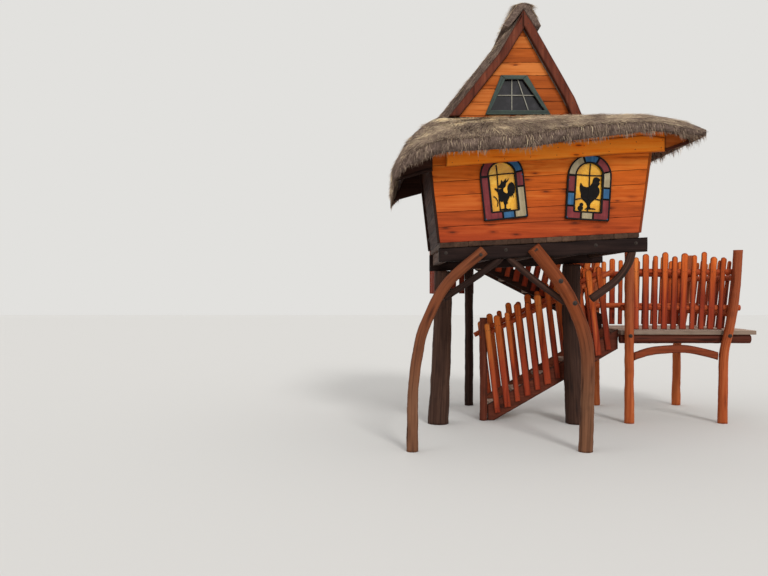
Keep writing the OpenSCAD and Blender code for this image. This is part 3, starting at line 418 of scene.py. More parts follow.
class Shader(Nodes):
    def __init__(self, name):
        self.material = bpy.data.materials.new(name)
        super().__init__(self.material)
        self.bsdf = self.node("BsdfPrincipled")
        self.node("OutputMaterial", {"Surface": self.bsdf.outputs["BSDF"]})
        self.grain = None

    def attribute(self, name, output="Fac"):
        return self.node("Attribute", attribute_name=name).outputs[output]

    def scaled(self, scale, shift):
        """The place in the grain, scaled to waves."""
        self.grain = self.grain or self.attribute("grain", "Vector")
        return self.node("Mapping", {"Vector": self.grain, "Scale": scale, "Location": shift}).outputs["Vector"]

    def noise(self, scale, shift=(0, 0, 0), detail=4.0, rough=0.55, distortion=0.0):
        vector = self.scaled(scale if isinstance(scale, tuple) else (scale, scale, scale), shift)
        settings = {"Vector": vector, "Scale": 1.0, "Detail": detail, "Roughness": rough, "Distortion": distortion}
        return self.node("TexNoise", settings).outputs["Fac"]

    def weighted(self, *terms, shift=0.0):
        """The sum of values, each times its weight, and a shift."""
        parts = [value if weight == 1 else self.math("MULTIPLY", value, weight) for value, weight in terms]
        total = parts[0]
        for part in parts[1:] + ([shift] if shift else []):
            total = self.math("ADD", total, part)
        return total

    def ramp(self, value, low, high, to_low=0.0, to_high=1.0):
        settings = {"Value": value, "From Min": low, "From Max": high, "To Min": to_low, "To Max": to_high}
        return self.node("MapRange", settings, interpolation_type="SMOOTHSTEP").outputs["Result"]

    def blend(self, a, b, share):
        return self.node("Mix", {6: a, 7: b, 0: share}, data_type="RGBA", blend_type="MIX").outputs[2]

    def colours(self, value, *stops):
        n = self.node("ValToRGB", {"Fac": value})
        ramp = n.color_ramp.elements
        for end in (0, -1):
            ramp[end].position, ramp[end].color = stops[end][0], linear(stops[end][1])
        for position, colour in stops[1:-1]:
            ramp.new(position).color = linear(colour)
        return n.outputs["Color"]

    def surface(self, colour, rough, height=None, strength=0.3, distance=0.002, specular=0.5, others=None):
        """Gives the shader its colour, roughness, specular level and bump, and others by their socket's name."""
        inputs = {"Base Color": colour, "Roughness": rough, "Specular IOR Level": specular, **(others or {})}
        if height:
            bump = self.node("Bump", {"Strength": strength, "Distance": distance, "Height": height})
            inputs["Normal"] = bump.outputs["Normal"]
        for key, value in inputs.items():
            self.feed(self.bsdf.inputs[key], value)
        return self.material


def wood(name, low, high=None, *, knots, dirt=(45, 28, 20), bump=0.5, dirt_share=0.75, weather=None,
         weather_share=0.0, fibre=34.0, knotty=1.0):
    """Grained timber. low and high are dark, middle and light colours where shade is 0 and 1."""
    s = Shader(name)
    fibres = s.noise((1.5, fibre, fibre), detail=7, rough=0.62, distortion=0.5)
    streaks = s.noise((0.7, 9, 9), (3, 1, 2), detail=3)
    patches = s.noise((2.4, 5, 5), (7, 2, 5), rough=0.6)
    cells = s.node("TexVoronoi", {
        "Vector": s.scaled((2.6 * knotty, 8.5 * knotty, 8.5 * knotty), (1, 4, 9)), "Scale": 1.0,
    }).outputs
    some = s.ramp(s.node("SeparateColor", {"Color": cells["Color"]}).outputs[0], 0.52, 0.56)
    knot = s.math("MULTIPLY", s.ramp(cells["Distance"], 0.07, 0.17, 1, 0), some)
    halo = s.math("MULTIPLY", s.ramp(cells["Distance"], 0.12, 0.42, 1, 0), some)
    value = s.weighted((fibres, 0.75), (streaks, 0.45), (patches, 0.3), (s.attribute("tone"), 0.42), (halo, -0.22),
                       shift=-0.46)
    colour = s.colours(value, *zip((0.12, 0.47, 0.8), low))
    if high:
        colour = s.blend(colour, s.colours(value, *zip((0.12, 0.47, 0.8), high)), s.attribute("shade"))
    if weather:
        spots = s.ramp(s.weighted((patches, 1), (streaks, 0.5)), 0.62, 0.9)
        colour = s.blend(colour, linear(weather), s.math("MULTIPLY", spots, weather_share))
    colour = s.blend(colour, linear(knots), s.math("MULTIPLY", knot, 0.8))
    colour = s.blend(colour, linear(dirt), s.math("MULTIPLY", s.ramp(fibres, 0.3, 0.42, 1, 0), 0.4))
    soiled = s.math("MULTIPLY", s.attribute("edge"), s.math("ADD", patches, 0.35))
    colour = s.blend(colour, linear(dirt), s.math("MULTIPLY", soiled, dirt_share, True))
    height = s.weighted((fibres, 1), (s.noise((9, 120, 120), detail=3), 0.35), (knot, -0.3))
    return s.surface(colour, s.ramp(fibres, 0.2, 0.8, 0.84, 0.62), height, bump, 0.004, 0.14)


def painted(name, colour, dark, light, rough=0.55, chips=None, gloss=0.5):
    """Brush-painted timber with faint fibres and worn rims."""
    s = Shader(name)
    fibres = s.noise((4, 44, 44), detail=5, rough=0.6)
    cloud = s.noise(16, rough=0.6)
    shown = s.colours(s.weighted((fibres, 0.6), (cloud, 0.5)), (0.3, dark), (0.55, colour), (0.8, light))
    if chips:
        worn = s.ramp(s.weighted((s.attribute("edge"), 0.35), (cloud, 0.6)), 0.56, 0.68)
        shown = s.blend(shown, linear(chips), worn)
    return s.surface(shown, rough, fibres, specular=gloss)


def stained(name, *stops, rough=0.22):
    """Opaque hand-made glass: cloudy colour and a rippled gloss."""
    s = Shader(name)
    colour = s.colours(s.noise(9, detail=5, rough=0.6, distortion=0.8), *stops)
    coat = {"Coat Weight": 0.2, "Coat Roughness": 0.15}
    return s.surface(colour, rough, s.noise(26, detail=2), 0.25, 0.003, others=coat)


s = Shader("thatch_base")
fibres = s.noise((5, 62, 62), detail=6, rough=0.65, distortion=0.6)
tufts = s.noise((6, 14, 14), rough=0.6)
colour = s.colours(
    s.weighted((fibres, 0.8), (tufts, 0.5), shift=-0.12),
    (0.25, (44, 34, 30)), (0.5, (98, 81, 72)), (0.75, (146, 125, 112)), (0.95, (190, 170, 148)),
)
thatch_base = s.surface(colour, 0.9, s.weighted((fibres, 1), (tufts, 1.2)), 0.9, 0.012, 0.15)
s = Shader("straw")
spots = s.noise(3, detail=3, rough=0.6)
colour = s.colours(
    s.weighted((s.attribute("tone"), 0.8), (spots, 0.5), (s.attribute("shade"), 0.16)),
    (0.2, (60, 47, 40)), (0.45, (118, 98, 84)), (0.68, (164, 142, 123)), (0.88, (206, 183, 152)),
    (1.0, (242, 222, 184)),
)
straw = s.surface(colour, 0.82, s.noise((8, 60, 60), detail=3), specular=0.2)
s = Shader("iron")
rust = s.noise(90, detail=5, rough=0.7)
colour = s.colours(rust, (0.3, (28, 24, 22)), (0.55, (58, 48, 42)), (0.75, (98, 62, 40)))
iron = s.surface(colour, s.ramp(rust, 0.3, 0.7, 0.45, 0.8), rust, distance=0.001, others={"Metallic": 0.5})
orange_boards = wood(
    "orange_boards", [(104, 36, 18), (156, 58, 26), (186, 84, 42)], [(142, 64, 14), (200, 94, 20), (224, 130, 48)],
    knots=(76, 30, 13), dirt=(60, 26, 13), knotty=1.8,
)
fascia_timber = wood(
    "fascia_timber", [(232, 96, 18), (254, 130, 26), (255, 160, 56)], knots=(120, 52, 16), dirt=(110, 52, 18),
    knotty=1.6,
)
verge_timber = wood("verge_timber", [(54, 24, 16), (98, 46, 30), (134, 72, 48)], knots=(44, 20, 14))
# The walls' orange made darker: partly the boards' own colour, partly painted shade of overhanging leaves; the right
# eave cheeks share it
gable_timber = wood("gable_timber", [(126, 56, 18), (176, 86, 28), (204, 118, 54)], knots=(92, 42, 20), knotty=1.8)
orange_log = wood(
    "orange_log", [(74, 46, 32), (120, 80, 56), (154, 112, 84)], [(78, 34, 16), (124, 61, 30), (158, 93, 55)],
    knots=(60, 32, 18), bump=0.7, dirt_share=0.4, fibre=24.0,
)
landing_log = wood(
    "landing_log", [(80, 36, 20), (134, 62, 34), (166, 92, 56)], [(98, 42, 20), (156, 72, 34), (188, 104, 58)],
    knots=(66, 28, 16), bump=0.7, dirt_share=0.4, fibre=24.0,
)
# Dark boards that stand for shade, not for a stain: painted shade on the left wall and on other parts that lie in shade
painted_shade_boards = wood(
    "painted_shade_boards", [(28, 14, 10), (52, 28, 20), (78, 46, 33)], [(32, 16, 11), (60, 32, 21), (86, 51, 35)],
    knots=(44, 22, 14), dirt=(34, 20, 14),
)
dark_timber = wood(
    "dark_timber", [(32, 20, 16), (62, 41, 32), (94, 68, 54)], [(26, 14, 11), (50, 29, 22), (78, 50, 38)],
    knots=(30, 18, 14), dirt=(24, 16, 12), bump=0.7, dirt_share=0.5,
)
weathered_beam = wood(
    "weathered_beam", [(14, 7, 6), (29, 15, 12), (50, 30, 24)], knots=(32, 20, 15), dirt=(24, 15, 12), bump=0.8,
    weather=(60, 43, 36), weather_share=0.14,
)
floor_timber = wood("floor_timber", [(56, 38, 28), (98, 70, 54), (134, 102, 80)], knots=(56, 34, 22), dirt=(44, 30, 22))
deck_timber = wood(
    "deck_timber", [(128, 100, 84), (186, 156, 136), (216, 192, 172)], knots=(90, 70, 54), dirt=(82, 62, 48),
    weather=(200, 184, 168), weather_share=0.4,
)
# The second, lighter set of colours is painted sunlight: the upper parts of pickets take it, the rails only a little
picket_timber = wood(
    "picket_timber", [(96, 32, 18), (142, 50, 26), (174, 76, 42)], [(160, 62, 22), (218, 104, 38), (242, 148, 70)],
    knots=(70, 26, 13), dirt=(64, 26, 15),
)
green_paint = painted("green_paint", (24, 48, 38), (12, 26, 21), (48, 76, 60), chips=(72, 62, 48))
bead_paint = painted("bead_paint", (150, 146, 132), (112, 106, 94), (186, 182, 166))
maroon_paint = painted("maroon_paint", (112, 34, 38), (76, 22, 28), (138, 54, 56), rough=0.5, gloss=0.25)
blue_paint = painted("blue_paint", (38, 88, 128), (24, 62, 96), (70, 118, 156), rough=0.5, gloss=0.25)
beige_paint = painted("beige_paint", (158, 143, 112), (126, 112, 84), (184, 171, 140), rough=0.5, gloss=0.25)
lead = painted("lead", (15, 12, 12), (8, 7, 7), (32, 28, 26), rough=0.6, gloss=0.15)
black_iron = painted("black_iron", (15, 12, 12), (8, 7, 7), (30, 26, 25), rough=0.65, gloss=0.12)
amber_glass = stained("amber_glass", (0.25, (198, 130, 14)), (0.5, (232, 166, 30)), (0.72, (246, 194, 70)))
dark_glass = stained("dark_glass", (0.25, (12, 10, 14)), (0.5, (24, 21, 26)), (0.75, (48, 45, 50)), rough=0.12)

# Boards of a wall between two sides, under a top line and around openings


least_gap, least_board = 8.0, 12


def spaced(points):
    """The outline without the points that follow too closely on another."""
    kept = [points[0]]
    for p in points[1:]:
        if math.dist(p, kept[-1]) > least_gap:
            kept.append(p)
    while math.dist(kept[-1], kept[0]) < least_gap:
        kept.pop()
    return kept


def cut_openings(openings, low, high, lower, upper):
    """The outlines of one board, between its lower and upper rows of points, that openings notch or part."""
    pieces = []
    steps, reach, stride = 18, 400, 2.0
    near, least_rows, snap = 4, 5, 2
    for middle, inside in sorted(openings, key=lambda o: o[0]):
        rows = []
        for j in range(steps + 1):
            xs = np.arange(middle - reach, middle + reach, stride)
            found = [x for x in xs if inside(x, mix(low(x), high(x), j / steps))]
            rows.append((found[0], found[-1]) if found else None)
        hit = [j for j, row in enumerate(rows) if row]
        if not hit:
            continue
        a, b = hit[0], hit[-1]
        if a <= snap:
            rows[:a] = [rows[a]] * a
            a = 0
        if b >= steps - snap:
            rows[b + 1 :] = [rows[b]] * (steps - b)
            b = steps
        if b - a < least_rows:
            continue
        left, right = (
            [(rows[j][k], mix(low(rows[j][k]), high(rows[j][k]), j / steps)) for j in range(a, b + 1)] for k in (0, 1)
        )
        first, last = min(p[0] for p in left) - near, max(p[0] for p in right) + near
        if a == 0 and b == steps:
            pieces.append([p for p in lower if p[0] < left[0][0] - near] + left
                          + [p for p in upper if p[0] < left[-1][0] - near][::-1])
            lower = right[::-1] + [p for p in lower if p[0] > right[0][0] + near]
            upper = [p for p in upper if p[0] > right[-1][0] + near]
        elif b == steps:
            upper = [p for p in upper if p[0] < first] + left[::-1] + right + [p for p in upper if p[0] > last]
        else:
            lower = [p for p in lower if p[0] < first] + left + right[::-1] + [p for p in lower if p[0] > last]
    return pieces + [lower + upper[::-1]]


def wall_boards(piece, lines, left, right, place, t, cut, top=None, bottom=None, openings=(), shade=0.0, tones=None):
    """Level boards between neighbouring lines. openings hold a centre and a test of x and z."""
    for number, (lower_line, upper_line) in enumerate(zip(lines, lines[1:])):
        def low(x):
            return max(lower_line(x), bottom(x)) if bottom else lower_line(x)

        def high(x):
            return min(upper_line(x), top(x)) if top else upper_line(x)

        def meet(line, edge):
            x = edge(floor_z)
            for _ in range(9):
                x = edge(line(x))
            return x

        xs_low, xs_high = (np.linspace(meet(line, left), meet(line, right), 40) for line in (low, high))
        tall = [i for i, (a, b) in enumerate(zip(xs_low, xs_high)) if high(b) - low(a) > least_board]
        if len(tall) < 3:
            continue
        shown = slice(tall[0], tall[-1] + 1)
        lower, upper = [(x, low(x)) for x in xs_low[shown]], [(x, high(x)) for x in xs_high[shown]]
        rng = np.random.default_rng(number + 77)
        for outline in cut_openings(openings, low, high, lower, upper):
            tone = tones[number % len(tones)] if tones else rng.uniform(0, 1)
            if openings:
                board(piece, spaced(outline), t, place, cut[:3] + (0.0,), tone, shade, inner=0.4)
            else:
                board(piece, spaced(outline), t, place, cut, tone, shade)


heights = [0, 158, 306, 470, 612, 776, 930, 1096, 1180]
wall_lines = [
    lambda x, k=k, h=h: floor_at(x) + h + (x - cabin_left) * 0.0022 * k for k, h in enumerate(heights)
]
window_side, window_w, border, arch_in = 435.0, 430.0, 80.0, 40.0
windows = [(-780.0, 2310.0, 6.0), (cabin_right - 525, 2300.0, -3.5)]


def climb(x, y, z):
    """How far up the wall a point is, from 0 to 1."""
    return np.clip((z - 2080) / 760, 0, 1)


def in_arch(x, z, cx, cz, turn):
    """Whether x and z lie in a window's inner arch."""
    c, s = math.cos(math.radians(turn)), math.sin(math.radians(turn))
    a, b = (x - cx) * c + (z - cz) * s, -(x - cx) * s + (z - cz) * c
    half_w = window_w / 2 - arch_in
    return arch_in <= b and (abs(a) < half_w if b <= window_side else a * a + (b - window_side) ** 2 < half_w**2)


arches = [(w[0], lambda x, z, w=w: in_arch(x, z, *w)) for w in windows]
door_right, door_top = door_x + door_w, floor_at(door_x) + door_h
for node, left, right, bottom, y, way, holes, tones in (
    ("front_wall", left_edge, right_edge, None, front_y, -1, arches, [0.35, 0.2, 0.55, 0.3, 0.62, 0.45, 0.7, 0.5]),
    ("rear_wall_left", left_edge, lambda z: door_x - 0.5, None, rear_y, 1, (), None),
    ("rear_wall_right", lambda z: door_right + 0.5, right_edge, None, rear_y, 1, (), None),
    ("rear_wall_over_door", lambda z: door_x, lambda z: door_right, lambda x: door_top, rear_y, 1, (), None),
):
    piece = Piece(node + "_boards")
    wall_boards(piece, wall_lines, left, right, upright(y, way), wall_t, wall_cut, under_thatch(y, 2), bottom, holes,
                climb, tones)
    piece.build(orange_boards, node)


def side_wall(node, edge, foot_x, inward, lean, timber):
    """Boards along a leaning side wall, between the front and rear walls. Gives the height of its top."""
    top_z, foot = 3100.0, floor_at(foot_x)
    for _ in range(12):
        top_z = float(thatch_under(edge(top_z), side_y))
    depth = inward / math.cos(math.radians(lean))
    y0, y1 = front_y + wall_t + 0.5, rear_y - wall_t - 0.5
    levels = [foot] + [foot + h + 14 for h in heights[1:-1] if foot + h + 100 < top_z] + [top_z - 4]
    ys = np.linspace(y0, y1, 15)
    under = [min(levels[-1], float(thatch_under(edge(top_z), y)) - 4) for y in ys]
    piece = Piece(node + "_boards")
    for number, (z0, z1) in enumerate(zip(levels, levels[1:])):
        head = [(y1, z1), (y0, z1)] if z1 < levels[-1] else list(zip(ys, under))[::-1]
        board(piece, [(y0, z0), (y1, z0)] + head, wall_t, lambda u, v, w: (edge(v) + w * depth, u, v), side_cut,
              [0.3, 0.55, 0.2, 0.65, 0.4, 0.75, 0.5][number % 7], climb)
    piece.build(timber, node)
    return top_z


# The left wall is built of the dark boards: painted shade on the side away from the light
left_top = side_wall("left_wall", left_edge, cabin_left, 1, left_lean, painted_shade_boards)
right_top = side_wall("right_wall", right_edge, cabin_right, -1, right_lean, orange_boards)

# Corner boards, fascia boards and eave cheeks

corner_t, corner_w, corner_gap = 24.0, 70.0, 140.0
piece = Piece("corner_board_planks")
# The left corner boards take the dark boards (material 1): painted shade, like the left wall
for edge, side, top_z, x_foot in ((left_edge, -1, left_top, cabin_left), (right_edge, 1, right_top, cabin_right)):
    for y0 in (front_y, rear_y - corner_w):
        place = lambda u, v, w: (edge(v) + side * (corner_t + seat - w), u, v)
        z0, z1 = floor_at(x_foot), top_z - corner_gap
        board(piece, rect(y0, z0, y0 + corner_w, z1), corner_t, place, corner_cut, None, climb, 1, int(side < 0))
        for z in np.arange(z0 + 60, z1 - 30, 152):
            stud(nails, place(y0 + corner_w / 2, z, 0), (side, 0, 0), 5, 2.5)
piece.build([orange_boards, painted_shade_boards], "corner_boards")

fascia_t, cheek_t, fascia_step = 35.0, 25.0, 3
fascia_left, fascia_right = cabin_left + 60, cabin_right + 250
fascia_left_z, fascia_right_z = floor_z + 760, floor_z + 915
fascia_top = under_thatch(front_y - fascia_t, 4)


def fascia_z(x):
    return mix(fascia_left_z, fascia_right_z, (x - fascia_left) / (fascia_right - fascia_left))


def fascia_split(x):
    return mix(fascia_z(x), fascia_top(x), 0.62) + 3 * math.sin(x / 260)


piece = Piece("fascia_planks")
for x0, y, way in ((fascia_left, front_y - fascia_t, -1), (door_right + fascia_t, rear_y + fascia_t, 1)):
    xs = np.linspace(x0, fascia_right, 24)
    split = [(x, fascia_split(x)) for x in xs]
    board(piece, [(x, fascia_z(x) + 2.5 * math.sin(x / 170)) for x in xs] + split[::-1], fascia_t, upright(y, way),
          fascia_cut, 0.62)
    head = [(x, fascia_top(x)) for x in xs[::-1]]
    board(piece, split + head, fascia_t - fascia_step, upright(y - fascia_step * way, way), fascia_cut, 0.35)
for x in np.arange(fascia_left + 60, fascia_right, 260):
    nail_row([(x, front_y - fascia_t, fascia_z(x) + 34), (x + 12, front_y - fascia_t, fascia_z(x) + 110)], (0, -1, 0))
piece.build(fascia_timber, "fascia_boards")

cheek_top = under_thatch(front_y - cheek_t, 6)
below, above, batten_t = 4, 22, 14
piece = Piece("eave_cheek_planks")
for y, way in ((front_y - cheek_t, -1), (rear_y + cheek_t, 1)):
    # The left cheek and its batten take the dark boards (material 2): painted shade under the left eave
    for x0, z0, x1, rightward in (
        (fascia_right + 1, fascia_right_z, outer_right - 40, True),
        (left_edge(fascia_left_z) + 12, fascia_left_z - 40, outer_left + 40, False),
    ):
        z1 = float(thatch_under(x1, front_y)) - 30
        head = [(x, max(cheek_top(x), mix(z1, z0, i / 8) + 3)) for i, x in enumerate(np.linspace(x1, x0, 9))]
        board(piece, [(x0, z0), (x1, z1)] + head, cheek_t, upright(y, way), cheek_cut, 0.4, 0.45,
              material=0 if rightward else 2)
        a, b = np.array([x0, z0]), np.array([x1, z1])
        d = unit(b - a) * (1 if rightward else -1)
        up = np.array([-d[1], d[0]])
        batten = [tuple(q) for q in (a - up * below, b - up * below, b + up * above, a + up * above)]
        board(piece, batten, batten_t, upright(y + (batten_t - 1) * way, way), batten_cut, 0.1,
              material=1 if rightward else 2)
piece.build([gable_timber, verge_timber, painted_shade_boards], "eave_cheeks")

# Platform

piece = Piece("platform_beam_timbers")
xs = np.linspace(cabin_left - 10, cabin_right + 90, 16)
for y, way, extra, tone in ((front_y, -1, 0, 0.4), (rear_y, 1, rear_extra, 0.6)):
    outline = [(x, floor_at(x) - floor_t - beam_h - extra + 3 * math.sin(x / 140)) for x in xs]
    outline += [(x, floor_at(x) - floor_t) for x in xs[::-1]]
    board(piece, outline, beam_w, upright(y, way), beam_cut, tone)
piece.build(weathered_beam, "platform_beams")
piece = Piece("platform_joist_timbers")
for i in range(5):
    x = mix(cabin_left + 30, cabin_right - 90, i / 4)
    board(piece, rect(front_y + beam_w, -floor_t - beam_h + 10, rear_y - beam_w, -floor_t), 70.0,
          lambda u, v, w: (x + w, u, floor_at(x + w) + v), joist_cut)
piece.build(dark_timber, "platform_joists")
piece = Piece("cabin_floor_planks")
x = cabin_left
while x < cabin_right - 1:
    w = min(float(random.uniform(118, 152)), cabin_right - x)
    if cabin_right - x - w < 60:
        w = cabin_right - x
    out = float(random.uniform(-1, 14))
    board(piece, rect(x + 1, front_y - out, x + w - 1, rear_y), floor_t, lambda u, v, k: (u, v, floor_at(u) - k),
          floor_cut, along=1)
    x += w
piece.build(floor_timber, "cabin_floor")

# Upper gables

gable_t, gable_sill, gable_x, gable_lean = 45.0, head_z + 20, ridge_x - 48, -42.0
gable_w, gable_h, gable_frame = 680.0, 410.0, 36.0
ridge_drop, bell_count = upper_t * 1.9, len(bell)


def bell_x(i, foot):
    return mix(ridge_x, foot, bell[i][1 if foot < ridge_x else 0])


def bell_z(i):
    return mix(ridge_z, head_z, bell[i][1])


def under_x(i, foot):
    if i in (0, bell_count - 1):
        return foot if i else ridge_x
    thick = 0.85 + (0.65 if foot < ridge_x and i > 1 else 0)
    return bell_x(i, foot) + math.copysign(upper_t * thick, ridge_x - foot)


def under_z(i):
    if i == 0:
        return ridge_z - ridge_drop
    return head_z - thatch_t if i == bell_count - 1 else bell_z(i) - upper_t * 0.55


def gable_side(foot, sign):
    zs = [head_z - thatch_t] + [under_z(i) for i in range(4, 0, -1)] + [ridge_z - ridge_drop - 2]
    xs = [foot + sign * upper_t * 0.3] + [under_x(i, foot) + sign for i in range(4, 0, -1)] + [ridge_x]
    return lambda z: float(np.interp(z, zs, xs))


def trapezoid(inset_by):
    """The gable window's outline, moved inward: both corners of the sill, then the right and left ones of the head."""
    top_w, middle = gable_w * 0.4, gable_x + gable_lean
    return [
        (gable_x - gable_w / 2 + inset_by * 1.2, gable_sill + inset_by),
        (gable_x + gable_w / 2 - inset_by * 1.4, gable_sill + inset_by),
        (middle + top_w / 2 - inset_by, gable_sill + gable_h - inset_by),
        (middle - top_w / 2 + inset_by, gable_sill + gable_h - inset_by),
    ]


def in_trapezoid(x, z):
    p = trapezoid(1.0)
    t = min(1, max(0, (z - p[0][1]) / (p[3][1] - p[0][1])))
    return p[0][1] - 7 < z < p[3][1] + 7 and mix(p[0][0], p[3][0], t) < x < mix(p[1][0], p[2][0], t)


gable_heights = (3250, 3330, 3420, 3556, 3694, 3830, 3966, 4110, 4240, 4320)
gable_lines = [lambda x, z=z: z + (x - gable_x) * 0.004 for z in gable_heights]
for node, face, holes in (
    ("front_gable", upright(inner_front), [(gable_x, in_trapezoid)]), ("rear_gable", upright(inner_rear, 1), ()),
):
    piece = Piece(node + "_boards")
    wall_boards(piece, gable_lines, gable_side(inner_left, 1), gable_side(inner_right, -1), face, gable_t, gable_cut,
                openings=holes)
    piece.build(gable_timber, node)

piece = Piece("gable_window_frame_boards")
for outer, inner, t, out, cut, turn in (
    (trapezoid(0.0), trapezoid(gable_frame), gable_t + 25, 25, cheek_cut, 1),
    (trapezoid(gable_frame - 12), trapezoid(gable_frame + 8), 20, 31, bead_cut, 0),
):
    for i in range(4):
        j = (i + 1) % 4
        board(piece, [outer[i], outer[j], inner[j], inner[i]], t, upright(inner_front - out), cut, along=i % 2 * turn)
c = np.array(trapezoid(gable_frame))
bars = [(mix(c[0], c[1], t), mix(c[3], c[2], t)) for t in (0.4, 0.7)] + [(mix(c[0], c[3], 0.5), mix(c[1], c[2], 0.5))]
for a, b in bars:
    ribbon(piece, [a, (a + b) / 2, b], 8, 14, upright(inner_front - 4), 1)
piece.build([green_paint, bead_paint], "gable_window_frame")

piece = Piece("verge_planks")
for y, way in ((inner_front - verge_t, -1), (inner_rear + verge_t, 1)):
    for foot, shift in ((inner_left, 105), (inner_right, 0)):
        sign = math.copysign(1, ridge_x - foot)
        outer = [(bell_x(i, foot) + shift * min(1, i / 2), bell_z(i) + seat) for i in range(bell_count)]
        inside = [(ridge_x, ridge_z - verge_w * 1.8)] + [(x + sign * verge_w * 1.12, z) for x, z in outer[1:]]
        board(piece, outer + inside[::-1], verge_t, upright(y, way), verge_cut, 0.4, along=1)
        for a, b in zip(outer, outer[1:]):
            for t in (0.3, 0.8):
                nail_row([(mix(a[0], b[0], t) + sign * verge_w * 0.5, y, mix(a[1], b[1], t))], (0, way, 0), 5.0)
piece.build(verge_timber, "verge_boards")

# Arched windows: coloured borders between black leads, panes, and the rooster and hen

window_t = 28.0
half, inner_half = window_w / 2, window_w / 2 - border


def window_place(k, out):
    """Places a window's own x and z on a plane that is out before the wall."""
    cx, cz, turn = windows[k]
    c, s = math.cos(math.radians(turn)), math.sin(math.radians(turn))
    return lambda u, v, w: (cx + u * c - v * s, front_y - out + w, cz + u * s + v * c)


def arc(r, a0, a1, n):
    return [(r * math.cos(a), window_side + r * math.sin(a)) for a in np.radians(np.linspace(a0, a1, n))]


def arch_part(a0, a1):
    """Part of the border's arch between two angles."""
    n = max(3, int(abs(a1 - a0) / 7) + 1)
    return arc(half, a0, a1, n) + arc(inner_half, a0, a1, n)[::-1]


def side_part(side, z0, z1):
    return [(side * inner_half, z0), (side * half, z0), (side * half, z1), (side * inner_half, z1)]


low, high, out_x, in_x = 2, border - 2, half - 4, inner_half - 3
blue, maroon, beige, black = range(4)
left_parts = [
    (blue, arch_part(8, 62)), (maroon, arch_part(64, 116)), (maroon, arch_part(118, 178)),
    (maroon, [(-out_x, low), (-30, low), (-30, high), (-in_x, high), (-in_x, window_side - 2),
              (-out_x, window_side - 2)]),
    (maroon, [(in_x, 312), (out_x, 312), (out_x, window_side), (out_x - 2, window_side + 26),
              (in_x - 2, window_side + 16)]),
    (beige, [(92, low), (out_x, low), (out_x, 308), (in_x, 308), (in_x, high), (92, high)]),
    (blue, rect(-26, low, 88, high)),
]
right_parts = [
    (beige, arch_part(112, 178)), (blue, arch_part(66, 110)), (maroon, arch_part(16, 64)),
    (blue, side_part(-1, 134, 266)), (maroon, side_part(-1, 270, window_side - 2)),
    (beige, [(in_x, 328), (out_x, 328), (out_x, window_side), (out_x - 8, window_side + 56),
             (in_x - 5, window_side + 34)]),
    (blue, side_part(1, 214, 324)),
    (maroon, [(-out_x, low), (-66, low), (-66, high), (-in_x, high), (-in_x, 130), (-out_x, 130)]),
    (beige, rect(-62, low, 54, high)),
    (maroon, [(58, low), (out_x, low), (out_x, 210), (in_x, 210), (in_x, high), (58, high)]),
]
left_bars = [
    (11, [(-46, border), (-48, 300), (-42, 470), (-44, 545)]), (11, [(-inner_half, 446), (0, 450), (inner_half, 446)]),
    (8, [(-102, 236), (-88, 228), (-75, 212), (-62, 182), (-66, 156), (-72, 132)]),
]
right_bars = [
    (11, [(2, border), (6, 300), (2, 470), (4, 560)]), (11, [(-inner_half, 446), (0, 444), (inner_half, 450)]),
    (11, [(-inner_half, 196), (-60, 214), (0, 200), (60, 216), (inner_half, 204)]),
]
for k, (side, parts, bars, studs) in enumerate((
    ("left", left_parts, left_bars, ((half - 10, 425), (half - 12, 14), (-half + 12, 14))),
    ("right", right_parts, right_bars, ((-half + 12, 14), (half - 12, 14), (-half + 8, 388))),
)):
    piece = Piece(side + "_window_border")
    for colour, outline in parts:
        board(piece, outline, window_t - 6, window_place(k, window_t - 6), border_cut, None, 0.0, 1, colour, 9.0)
        p = np.array(outline + [outline[0]], float)
        for a, b in zip(p, p[1:]):
            if np.linalg.norm(b - a) >= 60 or len(outline) <= 6:
                ribbon(piece, [a, (a + b) / 2 + 0.01, b], 13, window_t, window_place(k, window_t), black)
    for r, base in ((half - 3, 3), (inner_half + 3, border - 3)):
        sides = [[(x, base), (x, window_side / 2), (x, window_side)] for x in (-r, r)]
        for path in [arc(r, 0, 180, 25)] + sides + [[(-r, base), (0, base), (r, base)]]:
            ribbon(piece, path, 15, window_t + 1, window_place(k, window_t + 1), black)
    for width, path in bars:
        ribbon(piece, path, width, 13, window_place(k, 12), black)
    for a, b in studs:
        stud(piece, window_place(k, window_t - 5)(a, b, 0), (0, -1, 0), 9, 4, 10)
    piece.build([blue_paint, maroon_paint, beige_paint, lead], side + "_window_frame")

pane_half, pane_t = 173, 8.0
piece = Piece("window_glass")
for k in (0, 1):
    pane = [(-pane_half, 42), (pane_half, 42)] + arc(pane_half, 0, 180, 25)
    board(piece, pane, pane_t, window_place(k, 0), pane_cut)
board(piece, trapezoid(gable_frame - 2), pane_t, upright(inner_front + 12), gable_pane_cut, material=1)
piece.build([amber_glass, dark_glass], "window_panes")

rooster = [
    (-43, 335), (-23, 351), (-16, 362), (-8, 394), (8, 374), (42, 404), (39, 377), (73, 405), (56, 373), (38, 357),
    (34, 339), (27, 321), (13, 312), (3, 298), (4, 276), (19, 261), (38, 253), (47, 271), (44, 299), (52, 328),
    (67, 350), (88, 362), (106, 353), (118, 328), (121, 298), (116, 272), (109, 246), (98, 247), (98, 204), (87, 234),
    (74, 208), (65, 227), (54, 207), (42, 188), (32, 167), (37, 154), (22, 148), (16, 131), (13, 112), (21, 101),
    (39, 97), (54, 102), (55, 86), (-54, 92), (-52, 103), (-29, 104), (-8, 105), (-2, 120), (-2, 142), (-6, 164),
    (-12, 179), (-25, 174), (-39, 183), (-44, 210), (-52, 245), (-59, 276), (-70, 292), (-83, 302), (-81, 318),
    (-60, 311), (-40, 303), (-19, 305), (-14, 314), (-25, 311), (-36, 316), (-42, 325),
]
